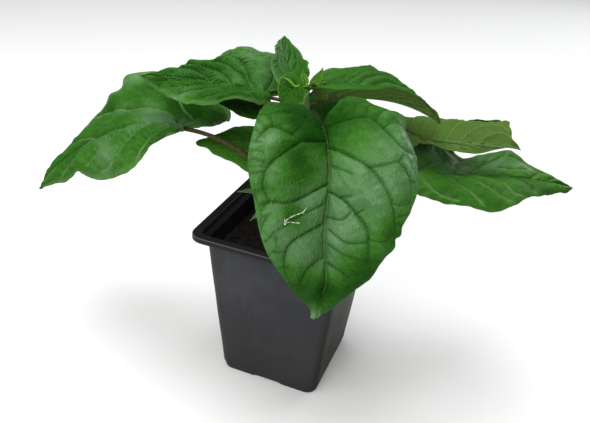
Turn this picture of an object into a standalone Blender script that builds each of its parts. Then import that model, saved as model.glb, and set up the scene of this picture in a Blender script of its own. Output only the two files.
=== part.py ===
"""A young chilli pepper plant in a square nursery pot.

Run it with: blender --background --python part.py

Frame: metres, +Z up, the origin at the centre of the pot's underside, X and Y along the pot's sides.
The pot is a thin-walled moulding, the compost a block that fills it, and the stem stands in a socket in
the compost. Each leaf is one solid, its blade joined to its stalk (petiole), which ends at the stem.
Sizes below are in millimetres and degrees, and become metres as each mesh is made.
"""

import math
from dataclasses import dataclass

import bmesh
import bpy
import numpy as np

# ---- Driving dimensions -------------------------------------------------------------------------

MM = 0.001
GAP = 0.3  # clearance between neighbouring solids

POT_HEIGHT = 98.0
RIM_HALF = 45.0  # half the width over the rim
LIP_DROP = 3.3  # height of the lip that hangs from the rim's edge
COLLAR_HALF = 41.0  # the widened top of the wall, under the rim
COLLAR_DROP = 5.4
BODY_TOP_HALF = 38.2
BASE_HALF = 29.6
FOOT_HEIGHT = 4.6  # a thin step runs round the pot just above its base
FOOT_STEP = 0.5
WALL = 0.9
SIDE_BULGE = 0.9  # the sides bow outwards at mid-height
BODY_CORNER = 6.0
RIM_CORNER = 8.0
DRAIN_SLOT = (16.0, 7.0, 1.4)  # along the side, inwards, high
DRAIN_HOLE_RADIUS = 2.5
DRAIN_HOLE_AT = 15.0

SOIL_TOP = 83.5
SOIL_DOME = 1.6  # the compost stands a little higher round the stem
SOIL_ROUGHNESS = 0.7
SOCKET_DEPTH = 24.0

STEM_TOP = 176.5
STEM_RADIUS = (3.0, 1.8)  # at the compost and at the growing tip
STEM_SIDES = 10
NODE_SWELL = 0.25  # the stem thickens where a leaf leaves it

BLADE = 0.6  # thickness of a full-grown leaf
YOUNG_BLADE = 0.5
PETIOLE_BASE = 0.3  # petiole radius = PETIOLE_BASE + PETIOLE_SHARE * blade length
PETIOLE_SHARE = 0.010
PETIOLE_SIDES = 6
BELLY = 0.62  # puts a blade's widest place nearer its base
POINT = 1.2  # sharpens a blade's tip


@dataclass
class Leaf:
    """One leaf, described as a flat blade bent along a curved spine.

    The spine starts at the stem, at height node, and runs along the petiole and then the midrib.
    rise and heading are its angles above the horizontal and round from +X, at four stations: the stem,
    the blade's base, its middle and its tip. roll turns the blade about its midrib at base, middle and
    tip. Pairs are (left half, right half), seen from above looking from base to tip: width is a half's
    greatest width, lift its angle up from the midrib, curl how far it goes on bending towards its
    margin, and notch how deep the base is lobed. droop bends the lobes down behind the base.
    """

    node: float
    petiole: float
    length: float
    width: tuple
    rise: tuple
    heading: tuple
    roll: tuple = (0, 0, 0)
    lift: tuple = (5, 5)
    curl: tuple = (-10, -10)
    notch: tuple = (0.35, 0.35)
    droop: float = 0
    young: bool = False


LEAVES = {
    "leaf_front": Leaf(
        152.5, 53.5, 97, (41, 37), rise=(61, -12, -76, -98), heading=(-63, -59, -66, -47),
        roll=(2, -1, 6), lift=(50, 39), curl=(-76, -43), droop=10),
    "leaf_upper_left": Leaf(
        164, 19, 76, (31.5, 41), rise=(18, 5, -5, -8), heading=(197, 181, 175, 178),
        roll=(1, -16, -23), lift=(17, -4), curl=(-14, 18), droop=10),
    "leaf_far_left": Leaf(
        102.5, 80, 112, (35, 52), rise=(63, -1, -34, -46), heading=(185, 185, 185, 218),
        roll=(8, -22, -10), lift=(8, -15), curl=(-53, 59), notch=(0.2, 0.5)),
    "leaf_lower_left": Leaf(
        118, 33, 50, (21.5, 25), rise=(15.5, 11, 4.5, -21), heading=(88, 183.5, 206.5, 185),
        roll=(1.5, -13, -13), lift=(-7, 4), curl=(-21, -10.5), notch=(0.3, 0.3), droop=10),
    "leaf_upright": Leaf(
        166, 13.5, 40, (17, 13.5), rise=(55, 14, 26, 28), heading=(117, 137, 131, 94),
        roll=(-30, 23, 2), lift=(31, 34), curl=(13, 34)),
    "leaf_arching_right": Leaf(
        161.5, 10, 70, (32, 30.5), rise=(16, 22, -6, -35), heading=(99, 26, 24, 23),
        roll=(7, 1, -17), lift=(43, 50), curl=(-68, -39), notch=(0.1, 0.1)),
    "leaf_back_right": Leaf(
        137, 55, 65.5, (30, 25.5), rise=(21, 13, 8, -40), heading=(29, 27, -2, -5),
        roll=(34, 12, 57), lift=(-13, -1), curl=(-60, -26)),
    "leaf_right": Leaf(
        128, 54.5, 106, (37.5, 42.5), rise=(29, -9, -6, -6), heading=(5, 21, 44, 14),
        roll=(-13, -15, 31), lift=(14, 23), curl=(32, -67), droop=10),
    "leaf_behind_left": Leaf(
        148, 27, 44, (13.5, 15), rise=(14, 5, -7, -12), heading=(163, 160, 161, 161),
        roll=(-6, 7, -1), curl=(-6, -10), notch=(0.3, 0.3), droop=5),
    "leaf_back": Leaf(
        144, 12, 40, (19, 17), rise=(42, 25, 10, -8), heading=(88, 74, 58, 52),
        lift=(35, 5), curl=(-25, -20), droop=10),
    "young_leaf_front": Leaf(
        176.5, 1, 15, (12, 11), rise=(26, -6, -37, -63), heading=(235, 225, 225, 237),
        roll=(-4, -18, -6), lift=(16, 36), curl=(-28, -10), young=True),
    "young_leaf_right": Leaf(
        170.5, 4, 11.5, (4, 7), rise=(55, 59, 68, 69), heading=(50, 56, 60, 61),
        lift=(40, 40), curl=(10, 10), young=True),
    "tip_leaf_back": Leaf(
        175, 0.5, 8, (2.5, 2.5), rise=(85, 65, 60, 65), heading=(130, 130, 130, 130),
        lift=(45, 45), curl=(20, 20), notch=(0.1, 0.1), young=True),
    "tip_leaf_front": Leaf(
        174.5, 0.5, 7, (2.5, 2.5), rise=(85, 65, 60, 65), heading=(330, 330, 330, 330),
        lift=(45, 45), curl=(20, 20), notch=(0.1, 0.1), young=True),
    "cotyledon_left": Leaf(
        107.5, 15.5, 17, (4, 4), rise=(31, 19, 0, -11), heading=(218, 207, 205, 204),
        lift=(10, 10), curl=(0, 0), notch=(0, 0), young=True),
    "cotyledon_front": Leaf(
        109.5, 12, 21, (4, 4), rise=(21, 4, -11, -18), heading=(247, 245, 246, 248),
        lift=(10, 10), curl=(0, 0), notch=(0, 0), young=True),
}

# colour, roughness
MATERIALS = {
    "pot_plastic": ((0.035, 0.037, 0.038), 0.55),
    "compost": ((0.020, 0.014, 0.010), 0.95),
    "stem_green": ((0.10, 0.16, 0.04), 0.5),
    "leaf_green": ((0.035, 0.13, 0.02), 0.38),
    "young_leaf_green": ((0.10, 0.26, 0.03), 0.4),
}


# ---- Helpers ------------------------------------------------------------------------------------


def clear_scene():
    for obj in list(bpy.data.objects):
        bpy.data.objects.remove(obj, do_unlink=True)


def material(name):
    found = bpy.data.materials.get(name)
    if found:
        return found
    colour, roughness = MATERIALS[name]
    made = bpy.data.materials.new(name)
    made.use_nodes = True
    shader = made.node_tree.nodes["Principled BSDF"]
    shader.inputs["Base Color"].default_value = (*colour, 1)
    shader.inputs["Roughness"].default_value = roughness
    shader.inputs["Metallic"].default_value = 0
    return made


def mesh_object(name, points, faces, finish=None, smooth=True):
    """An object whose mesh holds these points, given in millimetres."""
    mesh = bpy.data.meshes.new(name)
    mesh.from_pydata([tuple(p) for p in np.asarray(points) * MM], [], faces)
    obj = bpy.data.objects.new(name, mesh)
    bpy.context.scene.collection.objects.link(obj)
    if smooth:
        mesh.shade_smooth()
        mesh.set_sharp_from_angle(angle=math.radians(40))
    if finish:
        mesh.materials.append(material(finish))
    return obj


def face_outwards(obj):
    shape = bmesh.new()
    shape.from_mesh(obj.data)
    bmesh.ops.recalc_face_normals(shape, faces=shape.faces)
    shape.to_mesh(obj.data)
    shape.free()


def loft(name, rings, finish=None):
    """A closed solid through rings of equal point count, capped at the first and the last."""
    rings = np.asarray(rings)
    count, around = rings.shape[:2]
    faces = [
        (r * around + i, r * around + (i + 1) % around,
         (r + 1) * around + (i + 1) % around, (r + 1) * around + i)
        for r in range(count - 1) for i in range(around)
    ]
    faces.append(tuple(range(around)))
    faces.append(tuple((count - 1) * around + i for i in range(around)))
    obj = mesh_object(name, rings.reshape(-1, 3), faces, finish)
    face_outwards(obj)
    return obj


def cutter(obj):
    obj.hide_render = True
    obj.display_type = "WIRE"
    return obj


def boolean(obj, other, operation):
    change = obj.modifiers.new(other.name, "BOOLEAN")
    change.operation = operation
    change.solver = "EXACT"
    change.object = cutter(other)


# ---- Pot and compost ----------------------------------------------------------------------------

CORNER_STEPS = 4
SIDE_POINTS = (0.25, 0.5, 0.75)


def rounded_square(half, corner, z, bulge=0.0):
    """A ring of points at height z: four arcs, with three points along each side, bowed out by bulge."""
    ring = []
    for k in range(4):
        turn = math.radians(90 * k)
        arc = [math.radians(90) * i / CORNER_STEPS for i in range(CORNER_STEPS + 1)]
        local = [(half - corner + corner * math.cos(a), half - corner + corner * math.sin(a)) for a in arc]
        straight = half - corner
        local += [
            (straight - 2 * straight * f, half + bulge * math.sin(math.pi * f)) for f in SIDE_POINTS
        ]
        ring += [
            (x * math.cos(turn) - y * math.sin(turn), x * math.sin(turn) + y * math.cos(turn), z)
            for x, y in local
        ]
    return ring


def body_half(z):
    """Half-width of the pot's outside at height z: a straight taper above the foot's step."""
    above = (z - FOOT_HEIGHT) / (POT_HEIGHT - COLLAR_DROP - FOOT_HEIGHT)
    start = BASE_HALF + FOOT_STEP + 0.4
    return start + (BODY_TOP_HALF - start) * above


def body_bulge(z):
    return SIDE_BULGE * math.sin(math.pi * min(max(z / (POT_HEIGHT - COLLAR_DROP), 0), 1))


def outer_rings():
    """The outside, from the underside up over the foot, the body, the collar and the hanging lip."""
    shoulder = POT_HEIGHT - COLLAR_DROP
    rings = [
        rounded_square(BASE_HALF - 0.8, BODY_CORNER, 0),
        rounded_square(BASE_HALF, BODY_CORNER, 0.8),
        rounded_square(BASE_HALF + 0.4, BODY_CORNER, FOOT_HEIGHT - 0.4, body_bulge(FOOT_HEIGHT)),
    ]
    for z in (FOOT_HEIGHT, 20, 35, 50, 65, 80, shoulder - 1):
        rings.append(rounded_square(body_half(z), BODY_CORNER, z, body_bulge(z)))
    lip_inner = RIM_HALF - WALL
    rings += [
        rounded_square(COLLAR_HALF - 0.6, RIM_CORNER - 1.5, shoulder),
        rounded_square(COLLAR_HALF, RIM_CORNER - 1.5, shoulder + 0.8),
        rounded_square(COLLAR_HALF, RIM_CORNER - 1.5, POT_HEIGHT - 1),
        rounded_square(lip_inner, RIM_CORNER - WALL, POT_HEIGHT - 1),
        rounded_square(lip_inner, RIM_CORNER - WALL, POT_HEIGHT - LIP_DROP),
        rounded_square(RIM_HALF, RIM_CORNER, POT_HEIGHT - LIP_DROP),
        rounded_square(RIM_HALF, RIM_CORNER, POT_HEIGHT - 0.5),
        rounded_square(RIM_HALF - 0.5, RIM_CORNER - 0.5, POT_HEIGHT),
    ]
    return rings


def inner_rings():
    """The inside, from the rim's inner edge down past the collar and the tapered wall to the floor."""
    shoulder = POT_HEIGHT - COLLAR_DROP
    collar = COLLAR_HALF - WALL
    rings = [
        rounded_square(collar + 0.5, RIM_CORNER - 2, POT_HEIGHT),
        rounded_square(collar, RIM_CORNER - 2.3, POT_HEIGHT - 0.8),
        rounded_square(collar, RIM_CORNER - 2.3, shoulder + 1.8),
        rounded_square(BODY_TOP_HALF - WALL, BODY_CORNER - WALL, shoulder + 0.4),
    ]
    for z in (80, 65, 50, 35, 20, FOOT_HEIGHT + 1):
        rings.append(rounded_square(body_half(z) - WALL, BODY_CORNER - WALL, z, body_bulge(z)))
    rings.append(rounded_square(BASE_HALF - 1.4, BODY_CORNER - 1.4, 1.2))
    return rings


def make_pot():
    pot = loft("pot", outer_rings() + inner_rings(), "pot_plastic")
    along, inwards, high = DRAIN_SLOT
    for k in range(4):
        turn = math.radians(90 * k)
        depth = inwards + 5
        box = [
            (x, y, z)
            for z in (-1, high)
            for x, y in ((-along / 2, 0), (along / 2, 0), (along / 2, depth), (-along / 2, depth))
        ]
        placed = [
            (
                x * math.cos(turn) - (y + BASE_HALF - inwards) * math.sin(turn),
                x * math.sin(turn) + (y + BASE_HALF - inwards) * math.cos(turn),
                z,
            )
            for x, y, z in box
        ]
        boolean(pot, loft(f"drain_slot_cutter_{k}", [placed[:4], placed[4:]]), "DIFFERENCE")
        angles = [2 * math.pi * i / 12 for i in range(12)]
        centre = [DRAIN_HOLE_AT * s for s in ((1, 1), (-1, 1), (-1, -1), (1, -1))[k]]
        hole = [
            [
                (centre[0] + DRAIN_HOLE_RADIUS * math.cos(a), centre[1] + DRAIN_HOLE_RADIUS * math.sin(a), z)
                for a in angles
            ]
            for z in (-1, 3)
        ]
        boolean(pot, loft(f"drain_hole_cutter_{k}", hole), "DIFFERENCE")
    return pot


def soil_height(x, y):
    """Top of the compost: a low dome with uneven crumbs."""
    dome = SOIL_DOME * math.exp(-(x * x + y * y) / 18**2)
    uneven = math.sin(0.31 * x + 1.7) * math.cos(0.27 * y) + 0.7 * math.sin(0.53 * x - 0.61 * y + 0.4)
    return SOIL_TOP + dome + SOIL_ROUGHNESS * uneven / 1.7


def make_soil():
    """Up the outside with clearance to the wall, in over the rough top, and down the stem's socket."""
    def wall_ring(z):
        return rounded_square(
            body_half(z) - WALL - GAP - 0.1, BODY_CORNER - WALL - GAP, z, body_bulge(z))

    def top_ring(share):
        """From the wall (share 0) to the mouth of the socket (share 1)."""
        edge = np.array(wall_ring(SOIL_TOP))[:, :2]
        mouth = (STEM_RADIUS[0] + GAP + 0.1) * edge / np.linalg.norm(edge, axis=1)[:, None]
        flat = edge + (mouth - edge) * share
        return [(x, y, soil_height(x, y)) for x, y in flat]

    rings = [rounded_square(BASE_HALF - 2.2, BODY_CORNER - 2.2, 1.2 + GAP)]
    rings += [wall_ring(z) for z in (FOOT_HEIGHT + 2, 30, 55, SOIL_TOP - 3)]
    rings += [top_ring(share) for share in (0, 0.16, 0.34, 0.52, 0.7, 0.86, 1)]
    rings.append([(x, y, SOIL_TOP - SOCKET_DEPTH) for x, y, _ in top_ring(1)])
    return loft("soil", rings, "compost")


# ---- Stem ---------------------------------------------------------------------------------------


def stem_radius(z):
    share = min(max((z - SOIL_TOP) / (STEM_TOP - SOIL_TOP), 0), 1)
    return STEM_RADIUS[0] + (STEM_RADIUS[1] - STEM_RADIUS[0]) * share


def make_stem():
    """A round stem that tapers upwards, a little thicker just below each leaf."""
    bottom = SOIL_TOP - SOCKET_DEPTH + GAP
    nodes = sorted({leaf.node for leaf in LEAVES.values() if leaf.node < STEM_TOP - 8})
    heights = {bottom, SOIL_TOP, SOIL_TOP + 12, STEM_TOP - 2, STEM_TOP}
    for node in nodes:
        heights |= {node - 4, node - 1.6}
    rings = []
    for z in sorted(heights):
        swell = NODE_SWELL * any(abs(z - (node - 1.6)) < 0.01 for node in nodes)
        radius = stem_radius(z) + swell - (0.5 if z == STEM_TOP else 0)
        rings.append([
            (radius * math.cos(a), radius * math.sin(a), z)
            for a in (2 * math.pi * i / STEM_SIDES for i in range(STEM_SIDES))
        ])
    return loft("stem", rings, "stem_green")


# ---- Leaves -------------------------------------------------------------------------------------

SPINE_STEPS = 120


def smooth(stations, values, s):
    """A smooth cubic (Hermite) curve through the values at the stations, read at s."""
    stations, values = np.asarray(stations, float), np.asarray(values, float)
    slopes = np.gradient(values, stations)
    i = np.clip(np.searchsorted(stations, s) - 1, 0, len(stations) - 2)
    step = stations[i + 1] - stations[i]
    u = (s - stations[i]) / step
    ends = values[i] * (1 + 2 * u) * (1 - u) ** 2 + values[i + 1] * u * u * (3 - 2 * u)
    return ends + step * u * (1 - u) * ((1 - u) * slopes[i] - u * slopes[i + 1])


def petiole_radius(leaf):
    return PETIOLE_BASE + PETIOLE_SHARE * leaf.length


def spine(leaf):
    """(distance along, points, rise, heading) from the stem to the tip, by adding up short steps."""
    s = np.linspace(0, leaf.petiole + leaf.length, SPINE_STEPS + 1)
    stations = [0, leaf.petiole, leaf.petiole + leaf.length / 2, leaf.petiole + leaf.length]
    rise = np.radians(smooth(stations, leaf.rise, s))
    heading = np.radians(smooth(stations, leaf.heading, s))
    along = direction(rise, heading)
    off = stem_radius(leaf.node) + GAP + petiole_radius(leaf) * abs(math.sin(rise[0]))
    first = np.array([off * math.cos(heading[0]), off * math.sin(heading[0]), leaf.node])
    steps = (along[1:] + along[:-1]) / 2 * np.diff(s)[:, None]
    return s, np.vstack([first, first + np.cumsum(steps, axis=0)]), rise, heading


def direction(rise, heading):
    return np.stack([np.cos(rise) * np.cos(heading), np.cos(rise) * np.sin(heading), np.sin(rise)], -1)


def frame_at(leaf, s):
    """(point, forward, sideways to the left, up) of the spine at distances s from the stem."""
    at, points, rise, heading = spine(leaf)
    point = np.stack([np.interp(s, at, points[:, i]) for i in range(3)], -1)
    rise, heading = np.interp(s, at, rise), np.interp(s, at, heading)
    roll = np.radians(smooth([0, 0.5, 1], leaf.roll, np.clip((s - leaf.petiole) / leaf.length, 0, 1)))
    forward = direction(rise, heading)
    level = np.stack([-np.sin(heading), np.cos(heading), 0 * heading], -1)
    above = np.cross(forward, level)
    cos, sin = np.cos(roll)[..., None], np.sin(roll)[..., None]
    return point, forward, level * cos + above * sin, above * cos - level * sin


def blade_points(leaf, t, v, side):
    """Points of one half of the blade (side +1 left, -1 right).

    t runs along the margin from base (0) to tip (1), and v from the midrib (0) to the margin (1).
    Flat margin: x = L (t - notch sin(pi t^belly) (1 - t)^3), y = W sin(pi t^belly)^point.
    The half then lifts from the midrib and bends into an arc towards its margin.
    """
    half = 0 if side > 0 else 1
    length, width, notch = leaf.length, leaf.width[half], leaf.notch[half]
    bow = np.sin(np.pi * t**BELLY)
    margin_x = length * (t - notch * bow * (1 - t) ** 3)
    midrib_x = length * t**1.7
    x = midrib_x + (margin_x - midrib_x) * v**1.25
    across = width * np.abs(bow) ** POINT * v
    point, forward, sideways, up = frame_at(leaf, leaf.petiole + np.clip(x, 0, length))
    behind = np.minimum(x, 0)
    bend = np.radians(leaf.droop) * (-behind / (0.2 * length))
    point = point + forward * (behind * np.cos(bend))[..., None] + up * (behind * np.sin(bend))[..., None]
    lift, arc = math.radians(leaf.lift[half]), math.radians(leaf.curl[half]) * across / (2 * width)
    reach = across * np.sinc(arc / np.pi)
    out, rise = reach * np.cos(lift + arc), reach * np.sin(lift + arc)
    return point + side * sideways * out[..., None] + up * rise[..., None]


def make_blade(name, leaf):
    """The blade as a sheet of quads that closes to a point at base and tip, thickened by Solidify."""
    rows, columns = (8, 2) if leaf.young else (12, 3)
    t = (np.arange(1, rows) / rows) ** 1.35
    v = np.arange(1, columns + 1) / columns
    grid_t, grid_v = np.meshgrid(t, v, indexing="ij")
    left = blade_points(leaf, grid_t, grid_v, 1)[:, ::-1]
    middle = blade_points(leaf, t[:, None], np.zeros((rows - 1, 1)), 1)
    right = blade_points(leaf, grid_t, grid_v, -1)
    sheet = np.concatenate([left, middle, right], axis=1)
    ends = blade_points(leaf, np.array([0.0, 1.0]), np.zeros(2), 1)
    across = sheet.shape[1]
    base, tip = sheet.shape[0] * across, sheet.shape[0] * across + 1
    faces = [
        (r * across + i, (r + 1) * across + i, (r + 1) * across + i + 1, r * across + i + 1)
        for r in range(rows - 2) for i in range(across - 1)
    ]
    last = (rows - 2) * across
    faces += [(base, i, i + 1) for i in range(across - 1)]
    faces += [(tip, last + i + 1, last + i) for i in range(across - 1)]
    finish = "young_leaf_green" if leaf.young else "leaf_green"
    blade = mesh_object(name, np.vstack([sheet.reshape(-1, 3), ends]), faces, finish)
    thicken = blade.modifiers.new("thickness", "SOLIDIFY")
    thicken.thickness = (YOUNG_BLADE if leaf.young else BLADE) * MM
    thicken.offset = 0
    return blade


def make_petiole(name, leaf):
    """A tapering tube from the stem to well along the midrib, where it stands out under the blade."""
    reach = leaf.petiole + 0.82 * leaf.length
    count = max(5, round(reach / 7))
    s = np.linspace(0, reach, count + 1)
    point, forward, sideways, up = frame_at(leaf, s)
    thin = 0.42 if not leaf.young else 0.34
    radius = np.interp(s, [0, leaf.petiole, reach], [petiole_radius(leaf), 0.85 * petiole_radius(leaf), thin])
    under = np.interp(s, [0.6 * leaf.petiole, leaf.petiole, reach], [0, 0.55, 0.55]) * radius
    centre = point - up * under[:, None]
    rings = [
        [
            centre[k] + radius[k] * (math.cos(a) * sideways[k] + math.sin(a) * up[k])
            for a in (2 * math.pi * i / PETIOLE_SIDES for i in range(PETIOLE_SIDES))
        ]
        for k in range(count + 1)
    ]
    return loft(name + "_petiole", rings)


def make_leaf(name, leaf):
    blade = make_blade(name, leaf)
    boolean(blade, make_petiole(name, leaf), "UNION")
    return blade


def main():
    clear_scene()
    make_pot()
    make_soil()
    make_stem()
    for name, leaf in LEAVES.items():
        make_leaf(name, leaf)


main()
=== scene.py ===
# %% [markdown]
# # A young chilli pepper plant in a square nursery pot
#
# This lesson dresses a packed construction model of the plant: a thin black pot, the compost in it, one
# green stem, ten leaves on stalks and the small leaves at the growing tip and low on the stem. Nothing is
# fitted afterwards, so each size below is either read from the frame or is the same named size that the
# construction uses.

# %% Load the frame
import math
from dataclasses import dataclass

import bpy
import numpy as np
from mathutils import Matrix, Vector


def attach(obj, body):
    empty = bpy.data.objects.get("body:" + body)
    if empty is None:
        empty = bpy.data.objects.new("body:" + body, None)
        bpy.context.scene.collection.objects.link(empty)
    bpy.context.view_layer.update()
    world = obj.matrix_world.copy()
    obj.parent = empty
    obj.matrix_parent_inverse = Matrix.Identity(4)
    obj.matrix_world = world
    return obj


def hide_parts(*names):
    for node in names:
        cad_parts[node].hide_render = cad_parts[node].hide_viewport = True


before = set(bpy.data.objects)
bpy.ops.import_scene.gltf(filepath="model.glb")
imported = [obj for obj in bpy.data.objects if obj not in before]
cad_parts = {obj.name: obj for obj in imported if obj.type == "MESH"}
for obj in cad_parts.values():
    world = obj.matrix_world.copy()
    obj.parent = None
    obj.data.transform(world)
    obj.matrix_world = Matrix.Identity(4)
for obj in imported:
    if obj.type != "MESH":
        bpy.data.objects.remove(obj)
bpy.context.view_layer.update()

MM = 0.001

# %% [markdown]
# ## Camera
#
# The plant is seen from above the pot's near edge. A camera can be aimed with a tracking constraint or
# with angles; angles are used here, because a slight roll belongs to the view. The lens is stated for a
# 36 mm wide sensor.

# %% Camera
CAMERA_PLACE = Vector((0.1090, -0.3119, 0.2873))
CAMERA_TURN, CAMERA_DOWN, CAMERA_ROLL = math.radians(19.42), math.radians(29.27), math.radians(4.52)
CAMERA_LENS = 40.95
CAMERA_SENSOR = 36
CAMERA_NEAR = 0.01


def add_object(name, data, matrix=Matrix()):
    made = bpy.data.objects.new(name, data)
    bpy.context.scene.collection.objects.link(made)
    made.matrix_world = matrix
    return made


def make_camera():
    """Looks along +Y, turned left by CAMERA_TURN and tipped down by CAMERA_DOWN, then rolled."""
    data = bpy.data.cameras.new("camera")
    data.lens = CAMERA_LENS
    data.sensor_width = CAMERA_SENSOR
    data.clip_start = CAMERA_NEAR
    turn = Matrix.Rotation(CAMERA_TURN, 4, "Z") @ Matrix.Rotation(math.pi / 2 - CAMERA_DOWN, 4, "X")
    place = Matrix.Translation(CAMERA_PLACE) @ turn @ Matrix.Rotation(CAMERA_ROLL, 4, "Z")
    bpy.context.scene.camera = add_object("camera", data, place)
    return bpy.context.scene.camera


camera = make_camera()
print("camera looks along", [round(x, 3) for x in camera.matrix_world.to_3x3() @ Vector((0, 0, -1))])

# %% [markdown]
# ## Writing a material as arithmetic
#
# A material's nodes can be placed by hand or written as expressions. Here one small class wraps an output
# socket, so that mask * 0.5 + grain adds its Math nodes itself; colours are mixed, since a Math node
# would turn them grey. Any other node comes from Paint.node, which sets its settings before its sockets.

# %% Numbers on a surface
class Value:
    """A number on the surface: an output socket that arithmetic works on."""

    def __init__(self, paint, socket):
        self.paint, self.socket = paint, socket

    def math(self, operation, other):
        return self.paint.node("ShaderNodeMath", {"operation": operation}, {0: self, 1: other})

    def __add__(self, other):
        return self.math("ADD", other)

    def __mul__(self, other):
        return self.math("MULTIPLY", other)

    def __rsub__(self, other):
        return self * -1 + other

    __radd__, __rmul__ = __add__, __mul__

    def step(self, low, high):
        """0 at low, 1 at high, and smooth between."""
        values = {"Value": self, "From Min": low, "From Max": high}
        return self.paint.node("ShaderNodeMapRange", {"interpolation_type": "SMOOTHSTEP"}, values)


print("a Value can be added, multiplied, taken from a number, and stepped")

# %% Paint kit
class Paint:
    """A new material whose nodes are added as the expressions need them."""

    def __init__(self, name):
        self.material = bpy.data.materials.new(name)
        self.material.use_nodes = True
        self.tree = self.material.node_tree
        self.shader = self.tree.nodes["Principled BSDF"]

    def node(self, kind, settings=None, values=None, output=0):
        made = self.tree.nodes.new(kind)
        for key, value in (settings or {}).items():
            setattr(made, key, value)
        for key, value in (values or {}).items():
            if isinstance(value, Value):
                self.tree.links.new(value.socket, made.inputs[key])
            else:
                made.inputs[key].default_value = value
        return Value(self, made.outputs[output])

    def attribute(self, name):
        return self.node("ShaderNodeAttribute", {"attribute_name": name}, output="Fac")

    def place(self, name=None):
        """A vector to lay a pattern on: the piece's own vector attribute, or object coordinates."""
        if name:
            return self.node("ShaderNodeAttribute", {"attribute_name": name}, output="Vector")
        return self.node("ShaderNodeTexCoord", output="Object")

    def height(self, place):
        return self.node("ShaderNodeSeparateXYZ", None, {"Vector": place}, output=2)

    def stretched(self, place, scale):
        return self.node("ShaderNodeMapping", None, {"Vector": place, "Scale": scale})

    def noise(self, place, size, detail=3, rough=0.5):
        """Cloudy variation from 0 to 1 whose patches are about size metres (or units) across."""
        values = {"Vector": place, "Scale": 1 / size, "Detail": detail, "Roughness": rough}
        return self.node("ShaderNodeTexNoise", None, values)

    def cells(self, place, size):
        """Distance to the nearest border between cells about size across."""
        values = {"Vector": place, "Scale": 1 / size}
        return self.node("ShaderNodeTexVoronoi", {"feature": "DISTANCE_TO_EDGE"}, values)

    def mix(self, share, first, second):
        """first where share is 0, second where it is 1; both are colours."""
        def four(colour):
            return colour if isinstance(colour, Value) else (*colour, 1)
        values = {"Factor": share, 6: four(first), 7: four(second)}
        return self.node("ShaderNodeMix", {"data_type": "RGBA"}, values, output=2)

    def layers(self, base, *layers):
        """The base colour under one layer after another, each (share, colour)."""
        for share, colour in layers:
            base = self.mix(share, base, colour)
        return base

    def bump(self, height, depth, strength):
        """A bump whose height runs over depth metres."""
        values = {"Height": height, "Distance": depth, "Strength": strength}
        return self.node("ShaderNodeBump", None, values)

    def finish(self, constants, **varying):
        """Constants are set on the shader's own sockets; varying inputs are linked to them."""
        for name, value in constants.items():
            self.shader.inputs[name].default_value = value
        for name, value in varying.items():
            self.tree.links.new(value.socket, self.shader.inputs[name.replace("_", " ")])
        return self.material


print("paint kit ready")

# %% [markdown]
# ## Studio: floor and soft light
#
# The object stands on a plain pale floor. A large softbox overhead lights the leaves' upper sides, two
# weaker ones at the front and the left keep the pot's face and the hanging leaf readable, one behind parts
# the leaves from the floor, and a pale sky fills the rest. Area lights are used because their size sets how
# soft the shadows are.

# %% Studio
FLOOR_HALF = 6.0
FLOOR_COLOUR = (0.86, 0.86, 0.86, 1)
SKY = 0.10
SOFTBOXES = {  # place, aimed at, width, height, watts, colour
    "front_softbox": ((0.12, -1.20, 0.95), (0, 0, 0.12), 1.0, 0.8, 14.0, (1.0, 0.99, 0.97)),
    "left_softbox": ((-0.90, -1.00, 0.63), (0, 0, 0.12), 1.0, 0.6, 8.0, (1.0, 1.0, 1.0)),
    "back_softbox": ((0.75, 1.18, 0.63), (0, 0, 0.12), 1.0, 0.5, 6.0, (0.98, 0.99, 1.0)),
    "overhead_softbox": ((-0.15, 0.10, 1.55), (0, 0, 0.12), 1.2, 1.2, 24.0, (0.99, 1.0, 1.0)),
}


def make_studio():
    mesh = bpy.data.meshes.new("floor")
    corners = [(x * FLOOR_HALF, y * FLOOR_HALF, 0) for x, y in ((-1, -1), (1, -1), (1, 1), (-1, 1))]
    mesh.from_pydata(corners, [], [(0, 1, 2, 3)])
    constants = {"Base Color": FLOOR_COLOUR, "Roughness": 0.9, "Specular IOR Level": 0.1}
    mesh.materials.append(Paint("floor_paint").finish(constants))
    add_object("floor", mesh)
    world = bpy.data.worlds.new("sky")
    world.use_nodes = True
    world.node_tree.nodes["Background"].inputs["Color"].default_value = (1, 1, 1, 1)
    world.node_tree.nodes["Background"].inputs["Strength"].default_value = SKY
    bpy.context.scene.world = world
    for name, (place, target, width, height, watts, colour) in SOFTBOXES.items():
        light = bpy.data.lights.new(name, "AREA")
        light.shape = "RECTANGLE"
        light.size, light.size_y, light.energy, light.color = width, height, watts, colour
        aim = (Vector(target) - Vector(place)).to_track_quat("-Z", "Y")
        add_object(name, light, Matrix.Translation(Vector(place)) @ aim.to_matrix().to_4x4())
    bpy.context.scene.view_settings.view_transform = "Standard"


make_studio()
print("studio:", ", ".join(SOFTBOXES))

# %% [markdown]
# ## Surfaces from numpy arrays
#
# Every new piece is a grid of points that a formula gives, one closed ring after another. The rings are
# joined with quads, and each end closes on a single point, so the piece is one watertight skin. Working on
# whole arrays keeps this fast enough for leaves with tens of thousands of points.

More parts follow.
